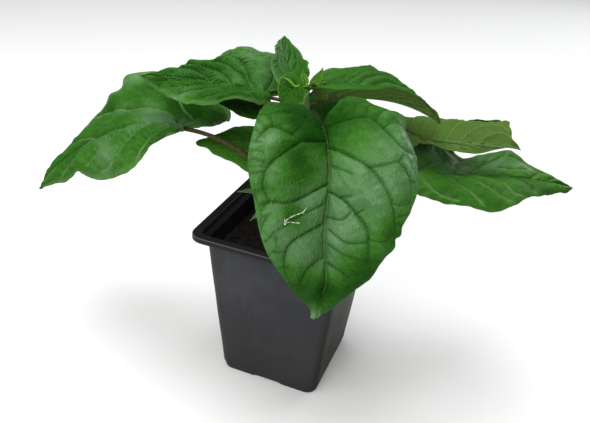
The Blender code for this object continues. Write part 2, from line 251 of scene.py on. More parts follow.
# %% Mesh helpers
def make_piece(name, skin, paint, node=None, sharp=62):
    """One mesh object at the origin from a skin: points in millimetres, a list of face arrays and a dict of
    point attributes. It rides on the plant's only body and replaces the plain solid called node."""
    points, faces, attributes = skin
    mesh = bpy.data.meshes.new(name)
    points = np.ascontiguousarray(points, np.float32) * np.float32(MM)
    corners = np.concatenate([f.reshape(-1) for f in faces]).astype(np.int32)
    sizes = np.concatenate([np.full(len(f), f.shape[1]) for f in faces])
    starts = np.concatenate([[0], np.cumsum(sizes)[:-1]]).astype(np.int32)
    mesh.vertices.add(len(points))
    mesh.vertices.foreach_set("co", points.ravel())
    mesh.loops.add(len(corners))
    mesh.loops.foreach_set("vertex_index", corners)
    mesh.polygons.add(len(sizes))
    mesh.polygons.foreach_set("loop_start", starts)
    mesh.update(calc_edges=True)
    for key, values in attributes.items():
        kind, field = ("FLOAT_VECTOR", "vector") if np.ndim(values) == 2 else ("FLOAT", "value")
        layer = mesh.attributes.new(key, kind, "POINT")
        layer.data.foreach_set(field, np.ascontiguousarray(values, np.float32).ravel())
    mesh.materials.append(paint)
    mesh.shade_smooth()
    mesh.set_sharp_from_angle(angle=math.radians(sharp))
    mesh.validate()
    piece = add_object(name, mesh)
    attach(piece, "root")
    if node:
        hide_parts(node)
    return piece


print("lengths from here on are in units of", MM, "m")

# %% Rings and skins
def ring_faces(rings, around):
    """Quads between rings of equal point count, and triangles to a pole point stored after the last ring
    at each end (the pole of ring 0 first)."""
    k, i = np.meshgrid(np.arange(rings - 1) * around, np.arange(around), indexing="ij")
    j = (i + 1) % around
    quads = np.stack([k + i, k + j, k + around + j, k + around + i], -1).reshape(-1, 4)
    i, j, pole, last = i[0], j[0], rings * around, (rings - 1) * around
    return [quads, np.stack([0 * i + pole, j, i], -1), np.stack([0 * i + pole + 1, last + i, last + j], -1)]


def skin_of(rings):
    """Points of an array of rings (ring, around, 3) with both poles added, and its faces, turned outwards.
    The volume tells which way they face: it is the sum of the tetrahedra under the triangles."""
    poles = np.stack([rings[0].mean(0), rings[-1].mean(0)])
    points, faces = np.vstack([rings.reshape(-1, 3), poles]), ring_faces(*rings.shape[:2])
    volume = 0
    for f in faces:
        for k in range(1, f.shape[1] - 1):
            a, b, c = points[f[:, 0]], points[f[:, k]], points[f[:, k + 1]]
            volume += np.einsum("ij,ij", a, np.cross(b, c))
    return points, faces if volume > 0 else [f[:, ::-1] for f in faces]


print("a skin of 3 rings of 8 points has", sum(len(f) for f in ring_faces(3, 8)), "faces")

# %% Tubes and joined skins
def turns(around):
    """The angles of points at an even pace round a ring."""
    return np.arange(around) * 2 * math.pi / around


def tube(centre, radius, sideways, up, around):
    """A skin of rings round the points of centre. The radius may differ from point to point of a ring."""
    turn = turns(around)[:, None]
    ring = np.cos(turn) * sideways[:, None] + np.sin(turn) * up[:, None]
    return skin_of(centre[:, None] + radius[..., None] * ring)


def joined(skins, masks=()):
    """Several skins as one. A mask that one of them doesn't name is 0 on it."""
    count, faces = 0, []
    for points, own, _ in skins:
        faces += [f + count for f in own]
        count += len(points)
    attributes = {key: np.concatenate([a.get(key, np.zeros(len(p))) for p, _, a in skins]) for key in masks}
    if masks:
        attributes["flat"] = np.vstack([a["flat"] for _, _, a in skins])
    return np.vstack([points for points, _, _ in skins]), faces, attributes


print("a ring of 4 has its points at", np.degrees(turns(4)), "degrees")

# %% Smooth curves and unevenness
def smooth(stations, values, s):
    """A smooth cubic (Hermite) curve through the values at the stations, read at s."""
    stations, values = np.asarray(stations, float), np.asarray(values, float)
    slopes = np.gradient(values, stations)
    i = np.clip(np.searchsorted(stations, s) - 1, 0, len(stations) - 2)
    step = stations[i + 1] - stations[i]
    u = (s - stations[i]) / step
    ends = values[i] * (1 + 2 * u) * (1 - u) ** 2 + values[i + 1] * u * u * (3 - 2 * u)
    return ends + step * u * (1 - u) * ((1 - u) * slopes[i] - u * slopes[i + 1])


def ripples(x, y, size, seed, count=7):
    """Smooth unevenness between about -1 and 1: a sum of plane waves in random directions, each with a
    wavelength near size."""
    draw = np.random.default_rng(seed)
    total = np.zeros(np.broadcast(x, y).shape)
    for _ in range(count):
        turn, phase = draw.uniform(0, 2 * np.pi, 2)
        wave = size * draw.uniform(0.7, 1.5)
        total += np.sin(2 * np.pi * (x * np.cos(turn) + y * np.sin(turn)) / wave + phase)
    return total / math.sqrt(2 * count)


print("half-way from 0 to 1:", smooth([0, 1], [0, 1], np.array([0.5])), "a ripple:",
      np.round(ripples(np.arange(3.0), np.zeros(3), 4, seed=1), 2))

# %% [markdown]
# ## Pot
#
# A thin soft-plastic nursery pot: a square with rounded corners, tapering to its base, with a flat rim,
# a lip that hangs from the rim's edge and a low step near the foot. It could be a box with bevels; a
# profile carried round a rounded square is used instead, since one formula then gives every wall, inside
# and out, and the sides can bow as thin plastic does.

# %% Pot sizes
POT_HEIGHT = 98.0
RIM_HALF = 45.0
LIP_DROP = 3.3
COLLAR_HALF = 41.0
COLLAR_DROP = 5.4
BODY_TOP_HALF = 38.2
BASE_HALF = 29.6
FOOT_HEIGHT = 4.6
FOOT_STEP = 0.5
WALL = 0.9
SIDE_BULGE = 0.9
BODY_CORNER = 6.0
RIM_CORNER = 8.0
SLOT_LENGTH, SLOT_DEPTH, SLOT_HEIGHT = 16.0, 7.0, 1.4
LIP_FOLD, MOUTH_FOLD = 0.7, 0.6
FLOOR = 1.1
SHOULDER = POT_HEIGHT - COLLAR_DROP
AROUND = 4 * 56
UNDERSIDE_RINGS = 6  # rings of the profile, counted from the underside's middle
WALL_RINGS = 51
EDGE_RINGS = (52, 53)
INSIDE_RING = 60

print("pot:", 2 * RIM_HALF, "mm over the rim,", POT_HEIGHT, "mm high")

# %% Rounded square
def rounded_square(half, corner, z, bulge=0.0):
    """A ring of points at height z. A quarter of the ring is one side and one corner: its points move along
    half a side, round the corner's arc and along the next half side at an even pace. bulge bows each
    side outwards by half a sine wave."""
    straight = half - corner
    arc = corner * math.pi / 2
    quarter = 2 * straight + arc
    s = np.arange(AROUND) / AROUND * 4 * quarter
    k, s = np.divmod(s, quarter)
    a = np.clip((s - straight) / corner, 0, math.pi / 2)
    x = straight + corner * np.cos(a)
    y = np.where(s < straight, s, straight + corner * np.sin(a))
    rest = np.clip(s - straight - arc, 0, None)
    x = np.where(rest > 0, straight - rest, x)
    bow = bulge * np.cos(np.pi / 2 * np.clip(np.minimum(np.abs(x), np.abs(y)) / straight, 0, 1))
    x, y = np.where(s < quarter / 2, x + bow, x), np.where(s < quarter / 2, y, y + bow)
    c, sn = np.cos(k * np.pi / 2), np.sin(k * np.pi / 2)
    return np.stack([x * c - y * sn, x * sn + y * c, np.full(AROUND, float(z))], -1)


def body_half(z):
    """Half-width of the pot's outside at height z: a straight taper above the foot's step."""
    start = BASE_HALF + FOOT_STEP + 0.4
    return start + (BODY_TOP_HALF - start) * (z - FOOT_HEIGHT) / (SHOULDER - FOOT_HEIGHT)


def body_bulge(z):
    return SIDE_BULGE * math.sin(math.pi * min(max(z / SHOULDER, 0), 1))


print("half-width:", round(body_half(FOOT_HEIGHT), 1), "mm at the foot,", round(body_half(SHOULDER), 1),
      "mm under the rim")

# %% Pot profile
def pot_profile():
    """(half width, corner radius, height, bulge) from the underside's middle, up the outside, over the rim
    and down the inside to the middle of the floor."""
    profile = [(4, 2, 0, 0), (BASE_HALF - 4, BODY_CORNER - 2, 0, 0),
               (BASE_HALF - 1.2, BODY_CORNER - 1, 0, 0), (BASE_HALF - 0.35, BODY_CORNER, 0.25, 0),
               (BASE_HALF, BODY_CORNER, 0.9, 0),
               (BASE_HALF + 0.35, BODY_CORNER, FOOT_HEIGHT - 0.35, body_bulge(FOOT_HEIGHT))]
    profile += [(body_half(z), BODY_CORNER, z, body_bulge(z))
                for z in np.linspace(FOOT_HEIGHT, SHOULDER - 1, 34)]
    lip = RIM_HALF - WALL
    profile += [
        (COLLAR_HALF - 1.2, RIM_CORNER - 1.7, SHOULDER - 0.2, 0),
        (COLLAR_HALF - 0.3, RIM_CORNER - 1.5, SHOULDER + 0.3, 0),
        (COLLAR_HALF, RIM_CORNER - 1.5, SHOULDER + 0.9, 0),
        (COLLAR_HALF, RIM_CORNER - 1.5, POT_HEIGHT - 1.3, 0),
        (COLLAR_HALF + 0.3, RIM_CORNER - 1.4, POT_HEIGHT - 1, 0),
        (lip - 0.3, RIM_CORNER - WALL, POT_HEIGHT - 1, 0),
        (lip, RIM_CORNER - WALL, POT_HEIGHT - 1.3, 0),
        (lip, RIM_CORNER - WALL, POT_HEIGHT - LIP_DROP + 0.2, 0),
        (lip + 0.2, RIM_CORNER - 0.6, POT_HEIGHT - LIP_DROP, 0),
        (RIM_HALF - 0.2, RIM_CORNER, POT_HEIGHT - LIP_DROP, 0),
        (RIM_HALF, RIM_CORNER, POT_HEIGHT - LIP_DROP + 0.25, 0),
    ]
    for turn in np.linspace(0, math.pi / 2, 5):
        profile.append((RIM_HALF - LIP_FOLD + LIP_FOLD * math.cos(turn), RIM_CORNER,
                        POT_HEIGHT - LIP_FOLD + LIP_FOLD * math.sin(turn), 0))
    inner = COLLAR_HALF - WALL
    for turn in np.linspace(0, math.pi / 2, 4):
        profile.append((inner + MOUTH_FOLD - MOUTH_FOLD * math.sin(turn), RIM_CORNER - 2.3,
                        POT_HEIGHT - MOUTH_FOLD + MOUTH_FOLD * math.cos(turn), 0))
    profile += [(inner, RIM_CORNER - 2.3, SHOULDER + 1.8, 0),
                (BODY_TOP_HALF - WALL, BODY_CORNER - WALL, SHOULDER + 0.4, 0)]
    profile += [(body_half(z) - WALL, BODY_CORNER - WALL, z, body_bulge(z))
                for z in np.linspace(SHOULDER - 2, FOOT_HEIGHT, 12)]
    profile += [(BASE_HALF - 1.6, BODY_CORNER - 1.4, FLOOR + 0.2, 0),
                (BASE_HALF - 3, BODY_CORNER - 2, FLOOR, 0), (4, 2, FLOOR, 0)]
    return profile


print("pot profile:", len(pot_profile()), "rings of", AROUND, "points")

# %% Pot skin
def in_slot(x, y):
    """1 inside the low opening at the middle of each side of the foot, 0 outside, with soft edges."""
    near, far = np.minimum(np.abs(x), np.abs(y)), np.maximum(np.abs(x), np.abs(y))
    across = np.clip((SLOT_LENGTH / 2 + 0.3 - near) / 0.6, 0, 1)
    return across * np.clip((far - (BASE_HALF - SLOT_DEPTH)) / 0.6, 0, 1)


def pot_skin():
    """The profile's rings. The side walls carry the faint unevenness of thin plastic, and the underside
    rises over each drain slot."""
    rings = np.stack([rounded_square(half, corner, z, bulge) for half, corner, z, bulge in pot_profile()])
    x, y, z = rings[..., 0], rings[..., 1], rings[..., 2]
    wall = np.clip((z - FOOT_HEIGHT) / 8, 0, 1) * np.clip((SHOULDER - z) / 8, 0, 1)
    around = np.arctan2(y, x)
    dent = 0.22 * wall * ripples(RIM_HALF * around, z, 46, seed=3)
    reach = np.hypot(x, y)
    rings[..., 0] += x / reach * dent
    rings[..., 1] += y / reach * dent
    low = np.arange(len(rings))[:, None] < UNDERSIDE_RINGS
    rings[..., 2] = np.where(low, z + np.clip(SLOT_HEIGHT - z, 0, None) * in_slot(x, y), z)
    return skin_of(rings)


print("pot skin:", len(pot_skin()[0]), "points")

# %% Pot plastic
# Colours: the plastic and its wear and specks; painted shade towards the foot, with a brownish cast down
# one side, on the rim's top and inside; a painted highlight along the rim's outer edge.
PLASTIC, WORN_PLASTIC, FOOT_SHADE = (0.026, 0.027, 0.030), (0.050, 0.051, 0.054), (0.013, 0.013, 0.012)
WARM_SIDE_SHADE, RIM_SHADE, PAINTED_EDGE_HIGHLIGHT = (0.009, 0.0085, 0.0035), (0.005, 0.005, 0.005), (0.085, 0.087, 0.092)
SPECKS, INSIDE_SHADE = (0.010, 0.009, 0.007), (0.003, 0.003, 0.003)
# how far, in millimetres, the painted shade of one side fades round the corners
SIDE_SHADE_BLEND = 5


def pot_plastic():
    """Dark grey soft plastic: cloudy scuffs, fine upright rubbing marks and a finely grained, half-matt
    surface. Painted shade darkens it towards the foot and on the rim's top, a brownish painted shade runs
    down one side, a painted highlight runs along the rim's outer edge, and the inside is painted black as
    shade."""
    paint = Paint("pot_plastic")
    place = paint.place()
    clouds = paint.noise(place, 0.035, 4)
    rubs = paint.noise(paint.stretched(place, (1, 1, 0.18)), 0.004, 3, 0.6)
    specks = paint.noise(place, 0.0022, 2).step(0.69, 0.78)
    grain = paint.noise(place, 0.0006, 2)
    worn = clouds.step(0.42, 0.72) * 0.5 + rubs.step(0.5, 0.8) * 0.35
    height = paint.height(place)
    low, top = height.step(0.085, 0.0), height.step(0.0935, 0.0965)
    # Over the plastic and its wear: painted shade towards the foot, down one side and on the rim's top, a
    # painted highlight on the rim's edge, specks, and painted shade inside.
    colour = paint.layers(
        PLASTIC, (worn, WORN_PLASTIC), (low * 0.5, FOOT_SHADE),
        (paint.attribute("warm_side_shade") * (low * 0.45 + 0.55), WARM_SIDE_SHADE), (top * 0.8, RIM_SHADE),
        # a painted highlight along the rim's outer edge
        (paint.attribute("edge") * 0.6, PAINTED_EDGE_HIGHLIGHT), (specks * 0.5, SPECKS),
        (paint.attribute("inside"), INSIDE_SHADE))
    roughness = clouds * 0.16 + rubs * 0.10 + top * -0.08 + 0.40
    normal = paint.bump(grain + rubs * 0.6, 0.00012, 0.5)
    return paint.finish({"Specular IOR Level": 0.12}, Base_Color=colour, Roughness=roughness, Normal=normal)


def make_pot():
    points, faces = pot_skin()
    ring = np.arange(len(points)) // AROUND
    # masks: painted shade with a brownish cast down the +x side, painted shade inside, and the rim's edge
    # for its painted highlight
    one_side = np.clip((points[:, 0] - np.abs(points[:, 1])) / SIDE_SHADE_BLEND + 0.5, 0, 1)
    masks = {"inside": ring >= INSIDE_RING, "warm_side_shade": one_side * (ring < WALL_RINGS),
             "edge": np.isin(ring, EDGE_RINGS)}
    return make_piece("square_pot", (points, faces, masks), pot_plastic(), "pot", sharp=38)


square_pot = make_pot()
print("square_pot:", len(square_pot.data.polygons), "faces")

# %% [markdown]
# ## Compost
#
# Dark, moist peat compost fills the pot to about 15 mm below its rim; it is painted nearly black, its own
# dark brown deepened by painted shade. A displaced grid gives its uneven top, and loose crumbs lie on it
# as small lumps of a few dozen faces each, all joined in one piece.

# %% Compost
SOIL_TOP = 83.5
SOIL_DOME, DOME_REACH = 1.6, 18
SOIL_ROUGHNESS = 0.7
GAP = 0.3
LUMPS = ((0.45, 7, 11), (0.3, 3.2, 12), (0.18, 1.6, 13, 12))  # height, size, seed, number of waves


def soil_height(x, y):
    """A low dome round the stem with two waves of unevenness, as in the construction."""
    dome = SOIL_DOME * np.exp(-(x * x + y * y) / DOME_REACH**2)
    uneven = np.sin(0.31 * x + 1.7) * np.cos(0.27 * y) + 0.7 * np.sin(0.53 * x - 0.61 * y + 0.4)
    return SOIL_TOP + dome + SOIL_ROUGHNESS * uneven / 1.7


def soil_skin():
    """Rings from the floor up the wall, then in over the top with finer and finer lumps."""
    def wall(z):
        return rounded_square(body_half(z) - WALL - GAP - 0.1, BODY_CORNER - WALL - GAP, z, body_bulge(z))

    rings = [rounded_square(BASE_HALF - 2.2, BODY_CORNER - 2.2, 1.2 + GAP)]
    rings += [wall(z) for z in (FOOT_HEIGHT + 2, 20, 35, 50, 65, 75, SOIL_TOP - 2.5)]
    edge = wall(SOIL_TOP)
    for share in np.linspace(1, 0.03, 72):
        x, y = edge[:, 0] * share, edge[:, 1] * share
        lumps = sum(height * ripples(x, y, *lump) for height, *lump in LUMPS)
        rings.append(np.stack([x, y, soil_height(x, y) + lumps], -1))
    return skin_of(np.stack(rings))


print("compost bed:", len(soil_skin()[0]), "points")

# %% Crumbs
CRUMBS = 520
CRUMB_RINGS, CRUMB_AROUND = 4, 7
CLEAR_OF_STEM, CRUMB_SPREAD = 5, 35


def crumb_skin(draw):
    """One crumb: a ball whose points are each pushed in or out, then squashed and turned at random."""
    up = np.linspace(-0.75, 0.75, CRUMB_RINGS)[:, None] * math.pi / 2
    turn = turns(CRUMB_AROUND)
    ball = np.stack([np.cos(up) * np.cos(turn), np.cos(up) * np.sin(turn), np.sin(up) + 0 * turn], -1)
    ball *= 1 + draw.uniform(-0.25, 0.25, (CRUMB_RINGS, CRUMB_AROUND, 1))
    ball *= draw.uniform(0.55, 1.0, 3) * draw.uniform(0.5, 1.5)
    spin = np.array(Matrix.Rotation(draw.uniform(0, 6), 3, Vector(draw.normal(size=3)).normalized()))
    return skin_of(ball @ spin.T)


def crumbs():
    """Crumbs sown over the compost's top, clear of the stem."""
    draw = np.random.default_rng(21)
    sown = []
    while len(sown) < CRUMBS:
        x, y = draw.uniform(-CRUMB_SPREAD, CRUMB_SPREAD, 2)
        points, faces = crumb_skin(draw)
        if math.hypot(x, y) < CLEAR_OF_STEM:
            continue
        sown.append((points + np.array([x, y, soil_height(x, y) + draw.uniform(-0.1, 0.5)]), faces, {}))
    points, faces, _ = joined(sown)
    return points, [np.vstack([f for f in faces if f.shape[1] == corners]) for corners in (4, 3)], {}


print("crumbs:", CRUMBS, "of", sum(len(f) for f in crumb_skin(np.random.default_rng(0))[1]), "faces")

# %% Compost paint
# the first is the peat's dark brown deepened by painted shade
SHADED_PEAT, BROWN_PEAT = (0.003, 0.002, 0.0015), (0.008, 0.0055, 0.004)
FIBRE, GRIT = (0.016, 0.010, 0.006), (0.06, 0.05, 0.04)


def compost_paint():
    """Peat painted nearly black, its own dark brown deepened by painted shade, with browner fibres and a
    few paler specks.
    """
    paint = Paint("compost")
    place = paint.place()
    fibres = paint.noise(paint.stretched(place, (1, 2.5, 1.6)), 0.0016, 4, 0.6)
    patches = paint.noise(place, 0.012, 3)
    specks = paint.noise(place, 0.0013, 1).step(0.72, 0.8)
    colour = paint.layers(SHADED_PEAT, (patches.step(0.35, 0.7), BROWN_PEAT),
                          (fibres.step(0.55, 0.75) * 0.6, FIBRE), (specks * 0.5, GRIT))
    normal = paint.bump(fibres, 0.0006, 0.8)
    return paint.finish({"Specular IOR Level": 0.25}, Base_Color=colour, Roughness=patches * 0.2 + 0.75,
                        Normal=normal)


def make_compost():
    paint = compost_paint()
    bed = make_piece("compost_bed", (*soil_skin(), {}), paint, "soil", sharp=80)
    return bed, make_piece("compost_crumbs", crumbs(), paint, sharp=80)


compost = make_compost()
print("compost:", [len(piece.data.polygons) for piece in compost], "faces")

# %% [markdown]
# ## Stem
#
# One upright green stem carries every leaf. It is a tube whose radius is a function of height: it tapers,
# swells below each leaf and has the shallow ribs that run down a young pepper stem.

# %% Stem sizes
STEM_TOP = 176.5
STEM_RADIUS = (3.0, 1.8)
NODE_SWELL = 0.35


def stem_radius(z):
    share = np.clip((z - SOIL_TOP) / (STEM_TOP - SOIL_TOP), 0, 1)
    return STEM_RADIUS[0] + (STEM_RADIUS[1] - STEM_RADIUS[0]) * share


print("stem:", STEM_TOP - SOIL_TOP, "mm above the compost")

# %% [markdown]
# ## Leaves: the shape of a blade
#
# A leaf is a flat cordate outline, pleated along its veins and bent along a curved midrib. Sculpting would
# work, but ten leaves of one plant share one build, so here a leaf is a short description: how its
# spine rises and turns, how its two halves lift and curl, and where its edge waves. Every leaf's spine and
# outline are the construction's own.

# %% Leaf sizes
BLADE = 0.6
YOUNG_BLADE = 0.5
PETIOLE_BASE = 0.3
PETIOLE_SHARE = 0.010
BELLY = 0.62
POINT = 1.2
SPINE_STEPS = 120

print("a blade is", BLADE, "mm thick, a young one", YOUNG_BLADE)

# %% Habit of a leaf
@dataclass(frozen=True)
class Habit:
    """What differs on one leaf: how it grew, and the light and shade painted on it. t runs along the blade
    from 0 at its base to 100 at its tip, v from -100 at its right margin over 0 at the midrib to 100 at its
    left margin.

    left, right: places (t, out, up) of a margin that lies out wider and up higher than the plain outline,
    in millimetres; both ends are 0, and so is an up that is left out. rib: places (t, sideways) of the
    midrib. tip: (ahead, sideways, up) in millimetres. folds: (half, first t, last t, width), where the
    margin has turned over onto the leaf. over: -1 for a leaf that shows its lower side. puff: how puckered
    it is; ladder: how much its puckers run in rungs between the veins. pale: how pale the veins are; cord:
    how thick. fresh: how young the green is. rim: how pale the margin. stalk_shade: how much painted shade
    lies on the stalk. glint: (direction in the blade in degrees, amount), painted light on the puckers: a
    painted highlight on the flank of each pucker that tilts that way, painted shade on the other flank.
    tone: patches (t, v, reach in millimetres, amount) of painted light, a painted sheen above 0 and painted
    shade below."""

    left: tuple = ()
    right: tuple = ()
    rib: tuple = ()
    tip: tuple = (0, 0, 0)
    folds: tuple = ()
    over: int = 1
    puff: float = 1
    ladder: float = 0.3
    pale: float = 0.5
    fresh: float = 0
    rim: float = 0
    stalk_shade: float = 0
    cord: float = 1
    glint: tuple = (0, 0)
    tone: tuple = ()


print("a plain leaf puckers by", Habit().puff, "and its puckers run in rungs by", Habit().ladder)

# %% Leaf description
@dataclass
class Leaf:
    """node: height at which it leaves the stem; petiole and length: of stalk and blade; width: of the
    (left, right) half. rise and heading: the spine's angles at stem, blade base, mid-blade and tip. roll:
    of the blade at base, middle and tip. lift, curl: each half's angle from the midrib and how far it
    bends on. notch: how deep each lobe is. droop: bends the lobes down. Millimetres and degrees."""

    node: float
    petiole: float
    length: float
    width: tuple
    rise: tuple
    heading: tuple
    roll: tuple = (0, 0, 0)
    lift: tuple = (5, 5)
    curl: tuple = (-10, -10)
    notch: tuple = (0.35, 0.35)
    droop: float = 0
    young: bool = False
    habit: Habit = Habit()


print("a leaf has", len(Leaf.__dataclass_fields__), "values")

# %% The plant's leaves
LEAVES = {
    "leaf_front": Leaf(
        152.5, 53.5, 97, (41, 37), rise=(61, -12, -76, -98), heading=(-63, -59, -66, -47),
        roll=(2, -1, 6), lift=(50, 39), curl=(-76, -43), droop=10),
    "leaf_upper_left": Leaf(
        164, 19, 76, (31.5, 41), rise=(18, 5, -5, -8), heading=(197, 181, 175, 178),
        roll=(1, -16, -23), lift=(17, -4), curl=(-14, 18), droop=10),
    "leaf_far_left": Leaf(
        102.5, 80, 112, (35, 52), rise=(63, -1, -34, -46), heading=(185, 185, 185, 218),
        roll=(8, -22, -10), lift=(8, -15), curl=(-53, 59), notch=(0.2, 0.5)),
    "leaf_lower_left": Leaf(
        118, 33, 50, (21.5, 25), rise=(15.5, 11, 4.5, -21), heading=(88, 183.5, 206.5, 185),
        roll=(1.5, -13, -13), lift=(-7, 4), curl=(-21, -10.5), notch=(0.3, 0.3), droop=10),
    "leaf_upright": Leaf(
        166, 13.5, 40, (17, 13.5), rise=(55, 14, 26, 28), heading=(117, 137, 131, 94),
        roll=(-30, 23, 2), lift=(31, 34), curl=(13, 34)),
    "leaf_arching_right": Leaf(
        161.5, 10, 70, (32, 30.5), rise=(16, 22, -6, -35), heading=(99, 26, 24, 23),
        roll=(7, 1, -17), lift=(43, 50), curl=(-68, -39), notch=(0.1, 0.1)),
    "leaf_back_right": Leaf(
        137, 55, 65.5, (30, 25.5), rise=(21, 13, 8, -40), heading=(29, 27, -2, -5),
        roll=(34, 12, 57), lift=(-13, -1), curl=(-60, -26)),
    "leaf_right": Leaf(
        128, 54.5, 106, (37.5, 42.5), rise=(29, -9, -6, -6), heading=(5, 21, 44, 14),
        roll=(-13, -15, 31), lift=(14, 23), curl=(32, -67), droop=10),
    "leaf_behind_left": Leaf(
        148, 27, 44, (13.5, 15), rise=(14, 5, -7, -12), heading=(163, 160, 161, 161),
        roll=(-6, 7, -1), curl=(-6, -10), notch=(0.3, 0.3), droop=5),
    "leaf_back": Leaf(
        144, 12, 40, (19, 17), rise=(42, 25, 10, -8), heading=(88, 74, 58, 52),
        lift=(35, 5), curl=(-25, -20), droop=10),
    "young_leaf_front": Leaf(
        176.5, 1, 15, (12, 11), rise=(26, -6, -37, -63), heading=(235, 225, 225, 237),
        roll=(-4, -18, -6), lift=(16, 36), curl=(-28, -10), young=True),
    "young_leaf_right": Leaf(
        170.5, 4, 11.5, (4, 7), rise=(55, 59, 68, 69), heading=(50, 56, 60, 61),
        lift=(40, 40), curl=(10, 10), young=True),
    "tip_leaf_back": Leaf(
        175, 0.5, 8, (2.5, 2.5), rise=(85, 65, 60, 65), heading=(130, 130, 130, 130),
        lift=(45, 45), curl=(20, 20), notch=(0.1, 0.1), young=True),
    "tip_leaf_front": Leaf(
        174.5, 0.5, 7, (2.5, 2.5), rise=(85, 65, 60, 65), heading=(330, 330, 330, 330),
        lift=(45, 45), curl=(20, 20), notch=(0.1, 0.1), young=True),
    "cotyledon_left": Leaf(
        107.5, 15.5, 17, (4, 4), rise=(31, 19, 0, -11), heading=(218, 207, 205, 204),
        lift=(10, 10), curl=(0, 0), notch=(0, 0), young=True),
    "cotyledon_front": Leaf(
        109.5, 12, 21, (4, 4), rise=(21, 4, -11, -18), heading=(247, 245, 246, 248),
        lift=(10, 10), curl=(0, 0), notch=(0, 0), young=True),
}
print("leaves:", len(LEAVES))
